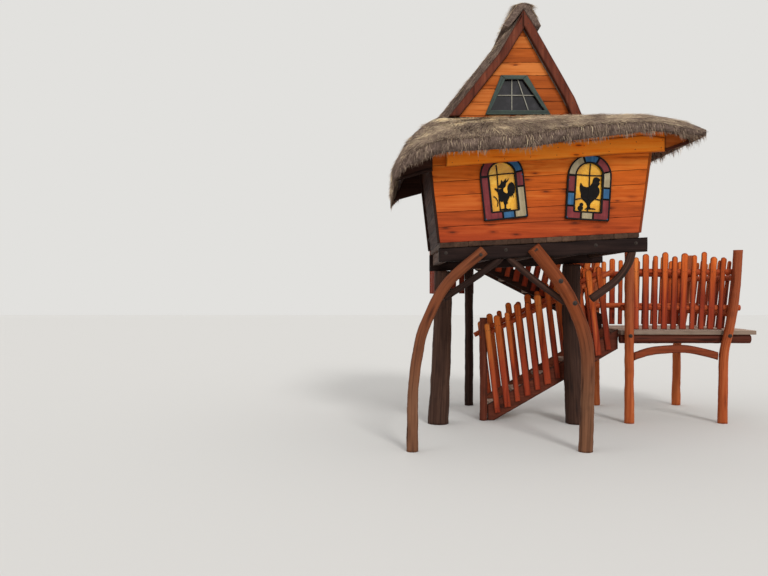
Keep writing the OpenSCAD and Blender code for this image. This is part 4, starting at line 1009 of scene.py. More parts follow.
hen = [
    (126, 420), (111, 410), (101, 420), (82, 430), (64, 431), (46, 422), (38, 402), (36, 378), (23, 356), (10, 340),
    (-8, 329), (-31, 328), (-53, 334), (-67, 349), (-79, 368), (-86, 350), (-89, 321), (-84, 288), (-73, 260),
    (-72, 231), (-59, 205), (-38, 188), (-19, 171), (-8, 152), (-3, 129), (-14, 117), (-28, 104), (84, 109), (59, 120),
    (30, 122), (26, 135), (24, 150), (32, 169), (50, 190), (73, 212), (94, 235), (108, 262), (113, 291), (108, 316),
    (93, 336), (100, 353), (110, 368), (102, 382), (106, 397),
]


def rounded(points):
    """A closed outline with softened corners."""
    p = np.array(points, float)
    out = []
    for i in range(len(p)):
        a, b, c, d = p[i - 1], p[i], p[(i + 1) % len(p)], p[(i + 2) % len(p)]
        out += [tuple(mix(mix(b, c, t), catmull(a, b, c, d, t), 0.5)) for t in (0, 1 / 3, 2 / 3)]
    return out


def circle(cx, cz, r):
    turns = [2 * math.pi * k / 20 for k in range(20)]
    return [(cx + r * math.cos(a), cz + r * math.sin(a)) for a in turns]


figure_t = 8.0
for k, (name, shapes) in enumerate((
    ("rooster", [(rounded(rooster), 0, figure_cut)]),
    ("hen", [(rounded(hen), 0, figure_cut), (circle(-70, 114, 27), 0, chick_cut),
             (circle(-61, 150, 19), 1, chick_cut)]),
)):
    piece = Piece(name + "_shape")
    for outline, less, cut in shapes:
        board(piece, outline, figure_t - less, window_place(k, figure_t - less / 2), cut, inner=0.4)
    piece.build(black_iron, name + "_figure")

# Crooked legs, posts and braces


def bent(points, y):
    return [(x, y, z, r) for x, z, r in points]


def rising(x, y, z):
    """How far up a leg a point is, from 0 to 1."""
    return np.clip((z - 500) / 900, 0, 1)


def under_beam(x, r):
    return floor_at(x - r) - floor_t - beam_h - seat


leg_drop, main_x = floor_t + 50, -520.0
main_z = floor_at(main_x) - leg_drop
piece = Piece("main_leg_log")
shares = [(0, 0), (10, 0.2), (20, 0.4), (0, 0.54), (-90, 0.68), (-255, 0.83), (main_x, 1)]
log(piece, bent([(x, t * main_z, leg_r if t else leg_r * 1.05) for x, t in shares], 0), 11, leg_log, (True, False),
    rising)
piece.build(orange_log, "front_right_leg")
left_foot, left_x, left_r = -1720.0, -1010.0, leg_r * 0.8
left_z, left_y = floor_at(left_x) - leg_drop, front_y - seat - left_r
piece = Piece("left_leg_log")
shares = [(0, 0), (10, 0.3), (60, 0.5), (130, 0.63), (340, 0.83), (left_x - left_foot, 1)]
log(piece, bent([(left_foot + x, t * left_z, left_r if t else left_r * 1.1) for x, t in shares], left_y), 12,
    left_leg_log, (True, False), lambda x, y, z: rising(x, y, z) * 0.7)
piece.build(orange_log, "front_left_leg")

piece = Piece("rear_post_logs")
for x, lean, seed in ((cabin_left + 150, -60, 13), (cabin_right - 300, 60, 14)):
    top_z = under_beam(x, 115 * 0.9) - rear_extra
    points = [(x + lean, 0, 126.5), (x + lean * 0.4, 0.4 * top_z, 115), (x, 0.75 * top_z, 109), (x, top_z, 103.5)]
    log(piece, bent(points, rear_y - beam_w - 30), seed, rear_log, (True, True), 0.2)
piece.build(dark_timber, "rear_posts")

piece = Piece("brace_logs")
tie_x, knee_x, brace_r, tie_r = main_x - 260, cabin_right - 60, 42.0, 34.0
knee_z = under_beam(knee_x, brace_r)
knee = [(-405, -467, 1), (-172, -294, 0.95), (-50, -142, 0.95), (0, 0, 1)]
log(piece, bent([(knee_x + x, knee_z + z, brace_r * r) for x, z, r in knee], front_y + beam_w / 2), 15, knee_log,
    (False, True), 0.5)
for seed, start, ends in ((16, 40, ((300, 0.84), (600, 0.73))), (17, -50, ((-290, 0.86), (-620, 0.75)))):
    points = [(tie_x + start, under_beam(tie_x + start, tie_r), tie_r)]
    points += [(tie_x + x, share * main_z, tie_r) for x, share in ends]
    log(piece, bent(points, front_y + tie_r), seed, tie_log, (True, False), 0.5)
piece.build(dark_timber, "leg_braces")

for x, z, y in ((-500, 1998, -60), (-262, 1688, -64), (-125, 1470, -64), (-1050, 1952, left_y - left_r + 6)):
    bolt((x, y, z))
for y, way in ((front_y + 2, -1), (rear_y - 2, 1)):
    for x in (cabin_left + 60, -780, 120, 520):
        bolt((x, y, floor_at(x) - floor_t - 55), (0, way, 0))

# Pickets, rails and posts of the landing

picket_ws = [64, 76, 58, 72, 66, 80, 60]
picket_hs = [0, 40, 18, 60, 10, 48, 28, 64, 6]
rail_make = (16, 30, 0.05)


def pick(values, i):
    return values[i % len(values)]


def picket(piece, place, x, z, w, h, lean, nails_at, normal):
    """A board with a hand-rounded top, leaning to the right by some degrees, nailed at heights over its foot."""
    rng = np.random.default_rng(int(abs(x) * 7 + w * 13 + h * 3) % 100000)
    blunt = rng.uniform(0.86, 1.0)
    c, s = math.cos(math.radians(lean)), math.sin(math.radians(lean))
    points = [(-w / 2, 0), (w / 2, 0)]
    points += [(w / 2 * math.cos(a), h - w / 2 + w / 2 * math.sin(a) * blunt) for a in np.linspace(0, math.pi, 11)]
    # The shade value rises over the upper part of the picket, giving its top the lighter colours: painted sunlight
    board(piece, [(x + a * c + b * s, z - a * s + b * c) for a, b in points], picket_t, place, picket_cut, None,
          lambda px, py, pz: np.clip((pz - z - h * 0.45) / (h * 0.55), 0, 1), 1)
    for up in nails_at:
        for a in (-w * 0.22, w * 0.22):
            nail_row([place(x + a * c + up * s, z - a * s + up * c, 0)], normal)


def rail(piece, a, b, r, seed, knots=6):
    """A slightly wavy round rail from a to b."""
    rng = np.random.default_rng(seed)
    rows = []
    for t in np.linspace(0, 1, 9):
        p = mix(np.array(a, float), np.array(b, float), t)
        bend = math.sin(math.pi * t) * math.sin(2.2 * math.pi * t + rng.uniform(-0.2, 0.2)) * 5
        rows.append((p[0], p[1], p[2] + bend, r))
    log(piece, rows, seed, rail_make + (knots,), (False, False), 0.15)


low_rail_z, top_rail_z, picket_low = landing_z + 275, landing_z + rail_h, landing_z + 15
left_post_x, right_post_x = landing_left + 80, landing_right - 120
row_count = picket_count - 1
row_start, row_end, over_rail, low_nail, high_nail = 45, 75, 165, 260, 15
for side, y_rail, way in (
    ("front", post_y + post_r + rail_r + seat, -1), ("rear", rear_post_line - post_r - rail_r - seat, 1),
):
    piece = Piece("landing_" + side + "_pickets")
    for z, seed in ((low_rail_z, 31), (top_rail_z, 32)):
        rail(piece, (landing_left + 10, y_rail, z), (landing_right + 130, y_rail, z), rail_r, seed + way)
    face = upright(y_rail + way * (rail_r + picket_t - let_in), way)
    first = left_post_x + post_r + row_start
    pitch = (right_post_x - row_end - first) / (row_count - 1)
    for i in range(row_count):
        share = i / row_count
        picket(piece, face, first + i * pitch + share * post_bend * 0.35, picket_low, pick(picket_ws, i),
               rail_h + over_rail + pick(picket_hs, i), share * 4, (low_nail, rail_h - high_nail), (0, way, 0))
    piece.build(picket_timber, "landing_" + side + "_railing")


def post_points(x, bend, top):
    rows = ((0, 0, 1.1), (0.05, 0.4 * landing_z, 1), (0.1, 0.75 * landing_z, 1), (0.42, landing_z, 1),
            (0.8, mix(landing_z, top, 0.45), 1), (1, top, 1))
    return [(x + bend * share, z, post_r * r) for share, z, r in rows]


def post_x_at(z):
    p = curve(post_points(right_post_x, post_bend, post_top), 2)
    return float(np.interp(z, p[:, 1], p[:, 0]))


for side, y, lower_by, seed in (("front", post_y, 30, 21), ("rear", rear_post_line, 60, 23)):
    piece = Piece("landing_" + side + "_post_logs")
    for k, (x, bend, top) in enumerate(((left_post_x, 0, post_top - lower_by), (right_post_x, post_bend, post_top))):
        log(piece, bent(post_points(x, bend, top), y), seed + k, post_log, (True, True),
            lambda x, y, z: np.clip((1500 - z) / 700, 0, 1))
    piece.build(landing_log, "landing_" + side + "_posts")

piece = Piece("landing_end_pickets")
end_low_z, end_top_z = low_rail_z - 2 * rail_r - seat, top_rail_z - 2 * rail_r - seat
for z, seed in ((end_low_z, 41), (end_top_z, 42)):
    rail(piece, (post_x_at(z), deck_rear, z), (post_x_at(z), deck_front, z), rail_r, seed, 5)
tilt = math.atan2(post_x_at(end_top_z) - post_x_at(end_low_z), end_top_z - end_low_z)
tilt_x, tilt_z = math.cos(tilt), math.sin(tilt)
end_in, end_count = 2 * rail_r + 48, picket_count - 2


def end_place(u, v, w):
    out, up = rail_r - let_in + picket_t - w, v - end_low_z
    return (post_x_at(end_low_z) + out * tilt_x + up * tilt_z, u, end_low_z - out * tilt_z + up * tilt_x)


for i in range(end_count):
    picket(piece, end_place, mix(deck_front + end_in, deck_rear - end_in, i / (end_count - 1)), picket_low,
           pick(picket_ws, i + 2), rail_h + 130 + pick(picket_hs, i + 3), 0, (190, rail_h - 85), (tilt_x, 0, -tilt_z))
piece.build(picket_timber, "landing_end_railing")

piece = Piece("landing_deck_planks")
plank_count = round((deck_rear - deck_front) / 122)
for i in range(plank_count):
    y0 = mix(deck_front, deck_rear, i / plank_count) + 2.5 * (i > 0)
    y1 = mix(deck_front, deck_rear, (i + 1) / plank_count) - 2.5 * (i < plank_count - 1)
    x0, x1 = landing_left + 1 + float(random.uniform(0, 3)), landing_right + 320 - 1 - float(random.uniform(0, 5))
    board(piece, rect(x0, y0, x1, y1), deck_t, flat(landing_z + float(random.uniform(-1.2, 1.2))), deck_cut)
piece.build(deck_timber, "landing_deck")

piece = Piece("landing_beam_logs")
for y, seed in ((deck_front + bearer_r, 51), (deck_rear - bearer_r, 52)):
    ends = [(x, y, landing_z - deck_t - bearer_r, bearer_r * 0.985) for x in (landing_left, landing_right + 260)]
    # The bearers take the dark verge timber (material 1) instead of the landing's logs: painted shade under the deck
    log(piece, ends, seed, bearer_log, (False, False), 0.5, True, 1)
span = right_post_x - left_post_x - 2 * post_r - 1
rise, brace_h = 90.0, 95.0
sag_r = (span * span / 4 + rise * rise) / (2 * rise)
middle, arch_top = (left_post_x + right_post_x) / 2, landing_z - deck_t - 2 * bearer_r - 10
xs = np.linspace(-span / 2, span / 2, 26)
crown = [(middle + x, arch_top - sag_r + math.sqrt(sag_r**2 - x * x) + 3 * math.sin(x / 70)) for x in xs]
board(piece, [(x, z - brace_h) for x, z in crown] + crown[::-1], 50.0, upright(post_y - 25), arch_cut)
piece.build([landing_log, verge_timber], "landing_beams")
for x in (left_post_x, right_post_x + 70):
    bolt((x, post_y - post_r + 1, landing_z - 60))

# Stairs

string_over, string_under = 10, 15


def string_outline(x0, z0, x1, z1):
    """Covers the treads from the level z0 at x0 to the level z1 at x1, cut level on the ground."""
    lift = (z1 - z0) / riser_count
    h = lift + tread_t + string_under
    low, high = z0 + lift + string_over - h, z1 + string_over - h
    cut = x0 - low / (high - low) * (x1 - x0)
    foot = [(x0, low)] if low >= 0 else [(x0, 0), (cut, 0)]
    return foot + [(x1, high), (x1, z1 + string_over), (x0, z0 + lift + string_over)]


# The upper flight's strings take the dark boards: painted shade
for part, timber, y0, y1, x0, z0, x1, z1 in (
    ("lower", verge_timber, lower_y0, lower_y1, flight_foot, 0, landing_left - seat, landing_z),
    ("upper", painted_shade_boards, upper_y0, upper_y1, landing_left - seat, landing_z, flight_foot, upper_top_z),
):
    piece = Piece(part + "_string_boards")
    for y, way in ((y0, -1), (y1, 1)):
        board(piece, string_outline(x0, z0, x1, z1), string_t, upright(y, way), string_cut)
    piece.build(timber, part + "_strings")
    piece = Piece(part + "_tread_boards")
    lift, going = (z1 - z0) / riser_count, (abs(x1 - x0) - seat) / (riser_count - 1)
    for i in range(1, riser_count):
        x = x0 + (i - 1) * going if x1 > x0 else x0 - i * going
        for a, b in ((x, x + going * 0.5 - 2), (x + going * 0.5 + 2, x + going)):
            board(piece, rect(a, y0 + string_t, b, y1 - string_t), tread_t, flat(z0 + i * lift), tread_cut, along=1)
    piece.build(deck_timber, part + "_treads")

flight_pickets, newel_r, newel_h, hand_lead, rail_start = 12, 48.0, 1260.0, 150.0, 60.0


def flight_railing(piece, y_face, out, x0, z0, x1, z1, lean, hand, seed):
    """Pickets and a hand rail on a flight's string. hand is the rail's height over the line at both ends."""
    slope, way = (z1 - z0) / (x1 - x0), math.copysign(1, x1 - x0)
    hand_slope = (z1 + hand[1] - z0 - hand[0]) / (x1 - x0)
    place = upright(y_face + out * (seat + picket_t), out)
    for i in range(flight_pickets):
        share = (i + 0.5) / flight_pickets
        x, up = mix(x0, x1, share), mix(hand[0], hand[1], share)
        picket(piece, place, x, z0 + (x - x0) * slope + 20, pick(picket_ws, i) + 6, up + 60 + pick(picket_hs, i), lean,
               (60, up - 30), (0, out, 0))
    rail_y = y_face + out * (seat - rail_r + let_in)
    start = (x0 - way * hand_lead, rail_y, z0 + hand[0] - way * hand_lead * hand_slope)
    rail(piece, start, (x1, rail_y, z1 + hand[1]), rail_r * 0.85, seed, 7)


lower_run = (flight_foot + rail_start, 40, landing_left - rail_start, landing_z - 230, -7, (1050.0, 950.0))
upper_run = (landing_left - 3 * rail_start, landing_z + 40, flight_foot + rail_start, upper_top_z - 175, 13,
             (740.0, 760.0))
for part, side, y, out, run, seed in (
    ("lower", "front", lower_y0, -1, lower_run, 66), ("lower", "rear", lower_y1, 1, lower_run, 68),
    ("upper", "front", upper_y0, -1, upper_run, 62), ("upper", "rear", upper_y1, 1, upper_run, 64),
):
    piece = Piece(f"{part}_{side}_pickets")
    flight_railing(piece, y, out, *run, seed)
    if (part, side) == ("lower", "front"):
        x, y = flight_foot - newel_r - seat, lower_y0 + rail_r - let_in
        rows = ((0, 0, 1), (3, 0.35, 0.96), (-3, 0.7, 1), (0, 1, 0.95))
        log(piece, [(x + a, y, newel_h * share, newel_r * r) for a, share, r in rows], 71, newel_log, (True, True), 0.6,
            material=1)
    piece.build([picket_timber, verge_timber], f"{part}_{side}_railing")

# Gallery

gallery_left, gallery_right = cabin_left + 100, flight_foot - seat
gallery_front, gallery_rear = rear_y + seat, upper_y1
wing_right, wing_rear = door_x + door_w + 110, upper_y0 - picket_t - 20
piece = Piece("gallery_deck_planks")
for x0, x1, end, width in (
    (gallery_left, gallery_right, gallery_rear, 128), (gallery_right, wing_right, wing_rear, 125),
):
    n = max(1, round((x1 - x0) / width))
    for i in range(n):
        a, b = mix(x0, x1, i / n) + 2.5, mix(x0, x1, (i + 1) / n) - 2.5
        board(piece, rect(a, gallery_front, b, end), deck_t, flat(upper_top_z + float(random.uniform(-1.2, 1.2))),
              deck_cut, along=1)
piece.build(floor_timber, "gallery_deck")
piece = Piece("gallery_beam_timbers")
beam_z = upper_top_z - deck_t - beam_h
for y, x1 in (
    (gallery_front + 40, wing_right), (wing_rear - beam_w, wing_right), (gallery_rear - beam_w, gallery_right),
):
    board(piece, rect(gallery_left, beam_z, x1, beam_z + beam_h), beam_w, upright(y), gallery_cut)
for x, seed in ((gallery_left + 90, 81), (gallery_right - 90, 82)):
    rows = [(x + a, gallery_rear - 60 - seat, z, r) for a, z, r in ((0, 0, 60), (4, beam_z / 2, 59), (0, beam_z, 58))]
    log(piece, rows, seed, gallery_log, (True, True), 0.4)
piece.build(dark_timber, "gallery_beams")

hang, gallery_rail_h, gallery_over, drop = 540.0, 620.0, 60.0, deck_t + beam_h
x_face, y_face = gallery_left - picket_t - seat, gallery_rear + seat
back_rail_y, rail_z = y_face - rail_r + let_in, upper_top_z + gallery_rail_h
piece = Piece("gallery_pickets")
for count, place, u0, u1, below, wider, taller, nails_at, normal in (
    (9, lambda u, v, w: (x_face + w, u, v), gallery_front + 90, gallery_rear - 60, hang, 0, 0,
     (hang - 30, hang + gallery_rail_h), (-1, 0, 0)),
    (5, upright(y_face + picket_t, 1), gallery_left + 70, gallery_right - 60, hang, 1, 2,
     (hang - 30, hang + gallery_rail_h), (0, 1, 0)),
    (5, lambda u, v, w: (wing_right + seat + picket_t - w, u, v), gallery_front + 90, wing_rear - 50, drop, 0, 1,
     (130, gallery_rail_h + drop), (1, 0, 0)),
):
    for i in range(count):
        h = below + gallery_rail_h + gallery_over + pick(picket_hs, i + taller) / 2
        picket(piece, place, mix(u0, u1, i / (count - 1)), upper_top_z - below, pick(picket_ws, i + wider) + 10, h, 0,
               nails_at, normal)
right_rail_x, left_rail_x = wing_right + seat - rail_r + let_in, x_face + picket_t + rail_r - let_in
for x0, y0, x1, y1, seed, knots in (
    (right_rail_x, gallery_front + 35, right_rail_x, wing_rear, 91, 3),
    (left_rail_x, gallery_front + 26, left_rail_x, back_rail_y - rail_r - seat, 92, 5),
    (gallery_left, back_rail_y, gallery_right, back_rail_y, 93, 4),
):
    rail(piece, (x0, y0, rail_z), (x1, y1, rail_z), rail_r, seed, knots)
piece.build(picket_timber, "gallery_railing")

bolts.build(iron, slot="black_figure")
nails.build(iron, slot="black_figure")

# Thatch: lumpy sheets under a coat of loose straw

cell_down, cell_across, course_w = 32, 34, 230
lump_h, course_h, sunk = 8, 12, 22
straw_reach, straw_w, straw_foot = (60, 150), (3.5, 6.8), (-24, -8)
fringe_reach, fringe_w = (16, 62), (4, 7.5)
saddle_reach, verge_reach, rim_straw_w = (50, 130), (50, 115), (3.5, 6.5)


def slope_line(foot, eave):
    """Rows down a side's slope: x and z of the top, y of both ends, and x and z of the underside."""
    rows = [(bell_x(i, foot), bell_z(i), inner_front, inner_rear, under_x(i, foot), under_z(i)) for i in range(5)]
    for t in np.linspace(0, 1, 13):
        x = mix(foot, eave, t)
        rows.append((x, float(thatch_top(x, side_y)), mix(inner_front, outer_front, t), mix(inner_rear, outer_rear, t),
                     x, float(thatch_under(x, side_y))))
    return np.array(rows)


def side_surface(foot, eave):
    """Gives at(q, s), the top and underside q of the way down and s of the way across, and the slope's length."""
    rows = slope_line(foot, eave)
    d = np.concatenate([[0], np.cumsum(np.hypot(np.diff(rows[:, 0]), np.diff(rows[:, 1])))])

    def at(q, s):
        x, z, y0, y1, x_under, z_under = (np.interp(q * d[-1], d, column) for column in rows.T)
        y = mix(y0, y1, s)
        return np.stack([x, y, z], -1), np.stack([x_under, y, z_under], -1)

    return at, d[-1]


def skirt_surface(head_y, eave_y):
    def at(q, s):
        x = mix(mix(inner_left, outer_left, q), mix(inner_right, outer_right, q), s)
        y = mix(head_y, eave_y, q)
        return np.stack([x, y, thatch_top(x, y)], -1), np.stack([x, y, thatch_under(x, y)], -1)

    return at, abs(eave_y - head_y) * 1.15


def normals(at, q, s):
    """The direction down the slope, and the upward normal."""
    e = 0.004
    down = unit(at(np.clip(q + e, 0, 1), s)[0] - at(np.clip(q - e, 0, 1), s)[0])
    across = unit(at(q, np.clip(s + e, 0, 1))[0] - at(q, np.clip(s - e, 0, 1))[0])
    n = unit(np.cross(across, down))
    return down, n * np.where(n[..., 2:] < 0, -1, 1)


def thatch_sheet(node, at, length, width, seed):
    """A closed sheet with a tufted top, shallow courses and a ragged eave."""
    rows, cols = int(length / cell_down), int(width / cell_across)
    q, s = np.repeat(np.linspace(0, 1, rows + 1), cols + 1), np.tile(np.linspace(0, 1, cols + 1), rows + 1)
    top, under = at(q, s)
    n = normals(at, q, s)[1]
    lumps = smooth_noise(top / np.array([260, 260, 210]), seed)
    course = (q * length / course_w + 0.12 * smooth_noise(s[:, None] * width / 300, seed + 1)) % 1.0
    rim = np.minimum(1, np.minimum(np.minimum(q, 1.02 - q), np.minimum(s, 1 - s)) * 14)
    top = top + n * ((lumps * lump_h + course**2 * course_h - sunk) * rim)[:, None]
    under[:, 2] += smooth_noise(under / 180, seed + 2, 2) * 4 * rim
    count = len(top)
    k = (np.arange(rows)[:, None] * (cols + 1) + np.arange(cols)).ravel()
    faces = np.stack([k, k + 1, k + cols + 2, k + cols + 1], 1)
    ring = [(0, c) for c in range(cols)] + [(r, cols) for r in range(rows)]
    ring += [(rows, c) for c in range(cols, 0, -1)] + [(r, 0) for r in range(rows, 0, -1)]
    a = np.array([r * (cols + 1) + c for r, c in ring])
    b = np.roll(a, -1)
    faces = np.concatenate([faces, faces[:, ::-1] + count, np.stack([b, a, a + count, b + count], 1)])
    corner = top[faces[0, :3]]
    if np.cross(corner[1] - corner[0], corner[2] - corner[0])[2] < 0:
        faces = faces[:, ::-1]
    grain = [np.stack([q * length, s * width, np.full_like(q, deep)], 1) for deep in (0.0, 90.0)]
    piece = Piece(node + "_sheet")
    piece.add(np.concatenate([top, under]), faces, np.concatenate(grain), 0.5, smooth=True)
    piece.build(thatch_base, node)


def straws(piece, rings, faces, shade, tone, seed, stretch=0.0):
    """Closed thin straws, each with one point from every ring. stretch lengthens the grain to the tip."""
    count, n = len(tone), len(rings)
    start = np.arange(count)[:, None] * n
    grain = np.repeat(np.random.default_rng(seed).uniform(-900, 900, (count, 3)), n, axis=0)
    grain[n - 1 :: n, 0] += stretch
    piece.add(np.stack(rings, 1).reshape(-1, 3), np.concatenate([start + np.array(f) for f in faces]), grain,
              np.repeat(tone, n), 0.0, np.tile(shade, count))


def spikes(piece, base, along, normal, length, lift, width, tone, seed):
    """Loose straws: thin wedges from base along a direction, with their tips lifted."""
    side, w = unit(np.cross(normal, along)), width[:, None]
    tip = base + along * length[:, None] + normal * lift[:, None]
    rings = [base - side * w / 2, base + side * w / 2, base + normal * w * 0.5, tip]
    straws(piece, rings, ([0, 2, 1], [0, 1, 3], [1, 2, 3], [2, 0, 3]), [0, 0, 0, 1.0], tone, seed, length)


def bent_straws(piece, base, middle, tip, normal, width, tone, seed):
    """Straws with a bend: a wedge to the middle and a point after it."""
    rings = []
    for spot, other, share in ((base, middle, 1.0), (middle, tip, 0.8)):
        along = unit(other - spot)
        side, w = unit(np.cross(normal, along)), width[:, None] * share
        rings += [spot - side * w / 2, spot + side * w / 2, spot + np.cross(along, side) * w * 0.6]
    faces = ([0, 2, 1], [0, 1, 4], [0, 4, 3], [1, 2, 5], [1, 5, 4], [2, 0, 3], [2, 3, 5], [3, 4, 6], [4, 5, 6],
             [5, 3, 6])
    straws(piece, rings + [tip], faces, [0, 0, 0, 0.6, 0.6, 0.6, 1.0], tone, seed)


def painted_sunlight(points):
    """Painted sunlight: lighter straw along the head of the front skirt, in two broken bands."""
    gone = (inner_front - points[:, 1]) / (inner_front - outer_front)
    broken = 0.5 + 0.5 * smooth_noise(points[:, :2] / np.array([210, 60]), 401)
    head = np.exp(-(((gone - 0.06) / 0.1) ** 2))
    second = np.exp(-(((gone - 0.42) / 0.09) ** 2)) * np.interp(points[:, 0], [-1500, -1100, -500, -250], [0, 1, 1, 0])
    where = (gone > -0.05) & (points[:, 2] < head_z + 30)
    return np.where(where, (head * 1.3 + second * 0.9) * np.clip(broken, 0, 1), 0)


def straw_tone(points, rng, bright):
    """Mostly grey-brown straws, paler in patches, a few bleached, and lighter where painted sunlight falls."""
    patches = smooth_noise(points / np.array([420, 420, 330]), bright)
    tone = 0.36 + 0.2 * patches + rng.normal(0, 0.15, len(points)) + painted_sunlight(points)
    tone += np.where(rng.uniform(0, 1, len(points)) < 0.13, rng.uniform(0.2, 0.5, len(points)), 0)
    return np.clip(tone, 0, 1)


def coat(name, at, length, count, fringe, seed):
    """A coat of straws down a slope, and a fringe that hangs at its eave."""
    rng = np.random.default_rng(seed)
    piece = Piece(name)
    q, s = rng.uniform(0, 1, count * 2), rng.uniform(0.003, 0.997, count * 2)
    grid_q = np.linspace(0, 1, 60)
    spans = np.linalg.norm(at(grid_q, np.ones(60))[0] - at(grid_q, np.zeros(60))[0], axis=1)
    keep = rng.uniform(0, 1, count * 2) < np.interp(q, grid_q, spans) / spans.max()
    q, s = q[keep][:count], s[keep][:count]
    count = len(q)
    top = at(q, s)[0]
    down, n = normals(at, q, s)
    yaw = (smooth_noise(top / 330, seed + 3) * 0.3 + rng.normal(0, 0.17, count))[:, None]
    along = down * np.cos(yaw) + np.cross(n, down) * np.sin(yaw)
    shag = smooth_noise(top / 150, seed + 4, 2)
    reach = rng.uniform(*straw_reach, count) * (1 + 0.25 * shag)
    reach = np.minimum(reach, (1 - q) * length + rng.uniform(14, 60, count))
    lift = np.clip(rng.gamma(2.0, 6, count) * (1 + 0.6 * shag), 1, 34)
    base = top + n * rng.uniform(*straw_foot, count)[:, None]
    spikes(piece, base, along, n, reach, lift, rng.uniform(*straw_w, count), straw_tone(top, rng, seed + 5), seed + 6)
    s, q = rng.uniform(0, 1, fringe), rng.uniform(0.93, 1.0, fringe)
    top, under = at(q, s)
    down, n = normals(at, q, s)
    depth = rng.uniform(0.0, 0.95, fringe) ** 1.3
    base = mix(top, under, depth[:, None]) - n * 10 - down * 24
    side = np.cross(n, down) * rng.normal(0, 0.22, fringe)[:, None]
    hang = np.array([0, 0, -1.0])
    reach = rng.uniform(*fringe_reach, fringe) * (1 + 0.7 * smooth_noise(top / 170, seed + 7)) * (1 - 0.25 * depth)
    middle = base + unit(down * 0.85 + hang * 0.35 + side) * (reach * 0.6 + 22)[:, None]
    tip = middle + unit(down * 0.25 + hang + side * 1.4) * reach[:, None]
    # Straws that hang deeper under the eave are darker: painted shade
    tone = straw_tone(top, rng, seed + 5) * (0.84 - 0.3 * depth)
    bent_straws(piece, base, middle, tip, n, rng.uniform(*fringe_w, fringe), tone, seed + 8)
    piece.build(straw, slot="thatch")


surfaces = {
    "front": skirt_surface(inner_front, outer_front), "rear": skirt_surface(inner_rear, outer_rear),
    "left": side_surface(inner_left, outer_left), "right": side_surface(inner_right, outer_right),
}
few = 1.0
full, deep = outer_right - outer_left, outer_rear - outer_front
for side, width, seed in (("front", full, 101), ("rear", full, 102), ("left", deep, 103), ("right", deep, 104)):
    thatch_sheet("thatch_" + side, *surfaces[side], width, seed)
for side, count, fringe, seed in (
    ("front", 33000, 5200, 111), ("rear", 21000, 4000, 121), ("left", 31000, 3600, 131), ("right", 31000, 3600, 141),
):
    coat("straw_" + side, *surfaces[side], int(count * few), int(fringe * few), seed)

# Ridge saddle, with straw bent over it

cap_t, crown_w = 70.0, 60.0
left_cap, right_cap, cap_z = bell_x(1, inner_left), bell_x(1, inner_right), bell_z(1)
inside = [(left_cap, cap_z + seat), (ridge_x, ridge_z + seat), (right_cap, cap_z + seat)]
outer = [
    (right_cap + cap_t * 0.9, cap_z + cap_t * 0.3), (ridge_x + crown_w, ridge_z + cap_t * 0.7),
    (ridge_x, ridge_z + cap_t),
    (ridge_x - crown_w, ridge_z + cap_t * 0.7), (left_cap - cap_t * 0.9, cap_z + cap_t * 0.3),
]
ridge_front, ridge_rear = inner_front - verge_t, inner_rear + verge_t
piece = Piece("thatch_ridge_saddle")
board(piece, inside + outer, ridge_rear - ridge_front, upright(ridge_front), saddle_cut, along=2)
piece.build(thatch_base, "thatch_ridge")
cap_line = np.array(outer)
cap_d = np.concatenate([[0], np.cumsum(np.linalg.norm(np.diff(cap_line, axis=0), axis=1))])


def cap_at(d):
    return (np.interp(d, cap_d, column) for column in cap_line.T)


piece = Piece("straw_ridge")
rng = np.random.default_rng(151)
number = int(6000 * few)
for side in (1, -1):
    t, y = rng.uniform(0.0, 0.62, number), rng.uniform(ridge_front + 4, ridge_rear - 4, number)
    d = cap_d[2] * (1 - side * t)
    (x, z), (x2, z2) = cap_at(d), cap_at(d - side * 6)
    along = unit(np.stack([x2 - x, rng.normal(0, 0.9, number), z2 - z], 1))
    outward = np.abs(along[:, 2]) * np.sign(x - ridge_x + 0.01)
    n = unit(np.stack([outward, np.zeros(number), np.abs(along[:, 0])], 1))
    base = np.stack([x, y, z], 1) + n * rng.uniform(-3, 6, number)[:, None]
    spikes(piece, base, along, n, rng.uniform(*saddle_reach, number), rng.uniform(-4, 12, number),
           rng.uniform(*rim_straw_w, number), straw_tone(base, rng, 152), 153)
piece.build(straw, slot="thatch")

# Straw ends that show at the gable ends of the steep slopes

piece = Piece("straw_verges")
number = int(2200 * few)
for side, seed in (("left", 161), ("right", 162)):
    at = surfaces[side][0]
    for end, way in ((0.0, -1), (1.0, 1)):
        rng = np.random.default_rng(seed + way)
        q = rng.uniform(0.02, 0.62, number)
        top, under = at(q, np.full(number, end))
        down, n = normals(at, q, np.full(number, abs(end - 0.01)))
        base = mix(top, under, rng.uniform(0, 0.8, number)[:, None]) - np.array([0, way * 40.0, 0])
        along = unit(down * rng.uniform(0.7, 1.6, number)[:, None] + np.array([0, way * 1.0, 0]))
        spikes(piece, base, along, n, rng.uniform(*verge_reach, number), rng.uniform(-4, 10, number),
               rng.uniform(*rim_straw_w, number), straw_tone(base, rng, 163), seed + 20)
piece.build(straw, slot="thatch")

# Poles under the eaves

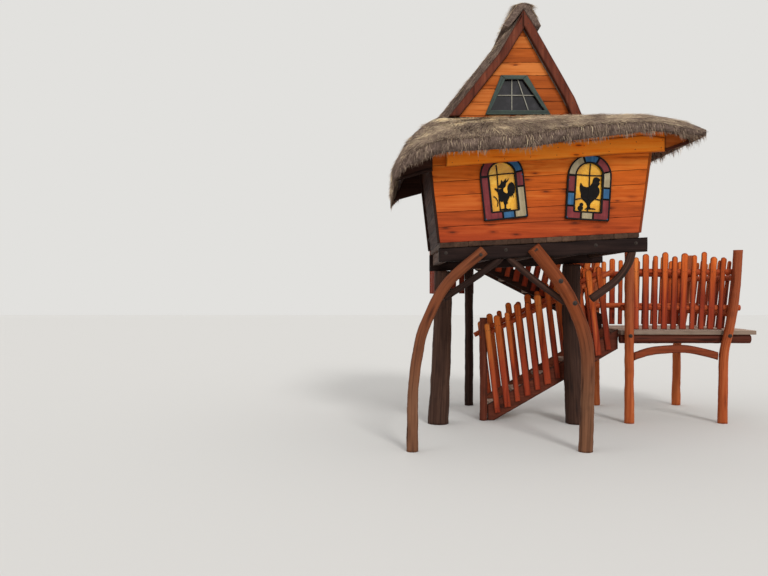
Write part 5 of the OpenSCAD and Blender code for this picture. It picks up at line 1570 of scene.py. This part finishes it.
piece = Piece("eave_poles")
across = np.linspace(0.03, 0.97, 16)
paths = [surfaces[side][0](np.full(16, q), across)[1] for side in ("front", "rear") for q in (0.66, 0.84)]
for foot, eave in ((inner_left, outer_left), (inner_right, outer_right)):
    for t in (0.62, 0.8):
        x, y0, y1 = mix(foot, eave, t), mix(inner_front, outer_front, t), mix(inner_rear, outer_rear, t)
        paths.append([(x, mix(y0, y1, k / 8), float(thatch_under(x, side_y))) for k in range(9)])
pole_drop, pole_r = 9, 17
for seed, path in enumerate(paths, 200):
    log(piece, [(x, y, z - pole_drop, pole_r) for x, y, z in path], seed, pole_log, (False, False), 0.3)
piece.build(dark_timber, slot="dark_timber")

# Floor, light and camera

ground_mesh = bpy.data.meshes.new("stage_floor")
ground_mesh.from_pydata([(x, y, 0) for x, y in rect(-40, -40, 40, 40)], [], [(0, 1, 2, 3)])
ground_mesh.materials.append(Shader("pale_floor").surface(linear((214, 212, 208)), 0.9, specular=0.1))
ground = bpy.data.objects.new("stage_floor", ground_mesh)
ground.location = (0, 0, -0.001)
bpy.context.scene.collection.objects.link(ground)

world = bpy.data.worlds.new("studio")
sky = Nodes(world)
light = sky.node("Background", {"Color": (1.0, 1.0, 1.0, 1), "Strength": 0.78})
shown = sky.node("Background", {"Color": linear((226, 225, 222))})
ray = sky.node("LightPath").outputs
seen = sky.math("MAXIMUM", sky.math("MAXIMUM", ray["Is Camera Ray"], ray["Is Glossy Ray"]), ray["Is Transmission Ray"])
choose = sky.node("MixShader", {0: seen, 1: light.outputs[0], 2: shown.outputs[0]})
sky.node("OutputWorld", {"Surface": choose.outputs[0]})
bpy.context.scene.world = world

# Lamps: degrees from the front and over the floor, strength, and how wide the lamp looks in degrees
for name, azimuth, elevation, strength, angle in (("key", 18, 34, 1.45, 14), ("fill", -65, 30, 0.3, 40)):
    lamp = bpy.data.lights.new(name, "SUN")
    lamp.energy, lamp.angle = strength, math.radians(angle)
    thing = bpy.data.objects.new(name, lamp)
    thing.rotation_euler = (math.radians(90 - elevation), 0, math.radians(azimuth))
    thing.location = (0, -6, 8)
    bpy.context.scene.collection.objects.link(thing)

camera = bpy.data.cameras.new("camera")
picture_w, focal, shift, sensor_w = 768, 740, 2, 36  # three in pixels, and the sensor in millimetres
camera.sensor_width = sensor_w
camera.lens = focal / picture_w * sensor_w
camera.shift_y = shift / picture_w
eye = bpy.data.objects.new("camera", camera)
eye.location = (-2.0, -7.3317, 1.6)
eye.rotation_euler = (math.radians(90), 0, 0)
bpy.context.scene.collection.objects.link(eye)
bpy.context.scene.camera = eye
bpy.context.scene.view_settings.view_transform = "Standard"

bpy.context.view_layer.update()
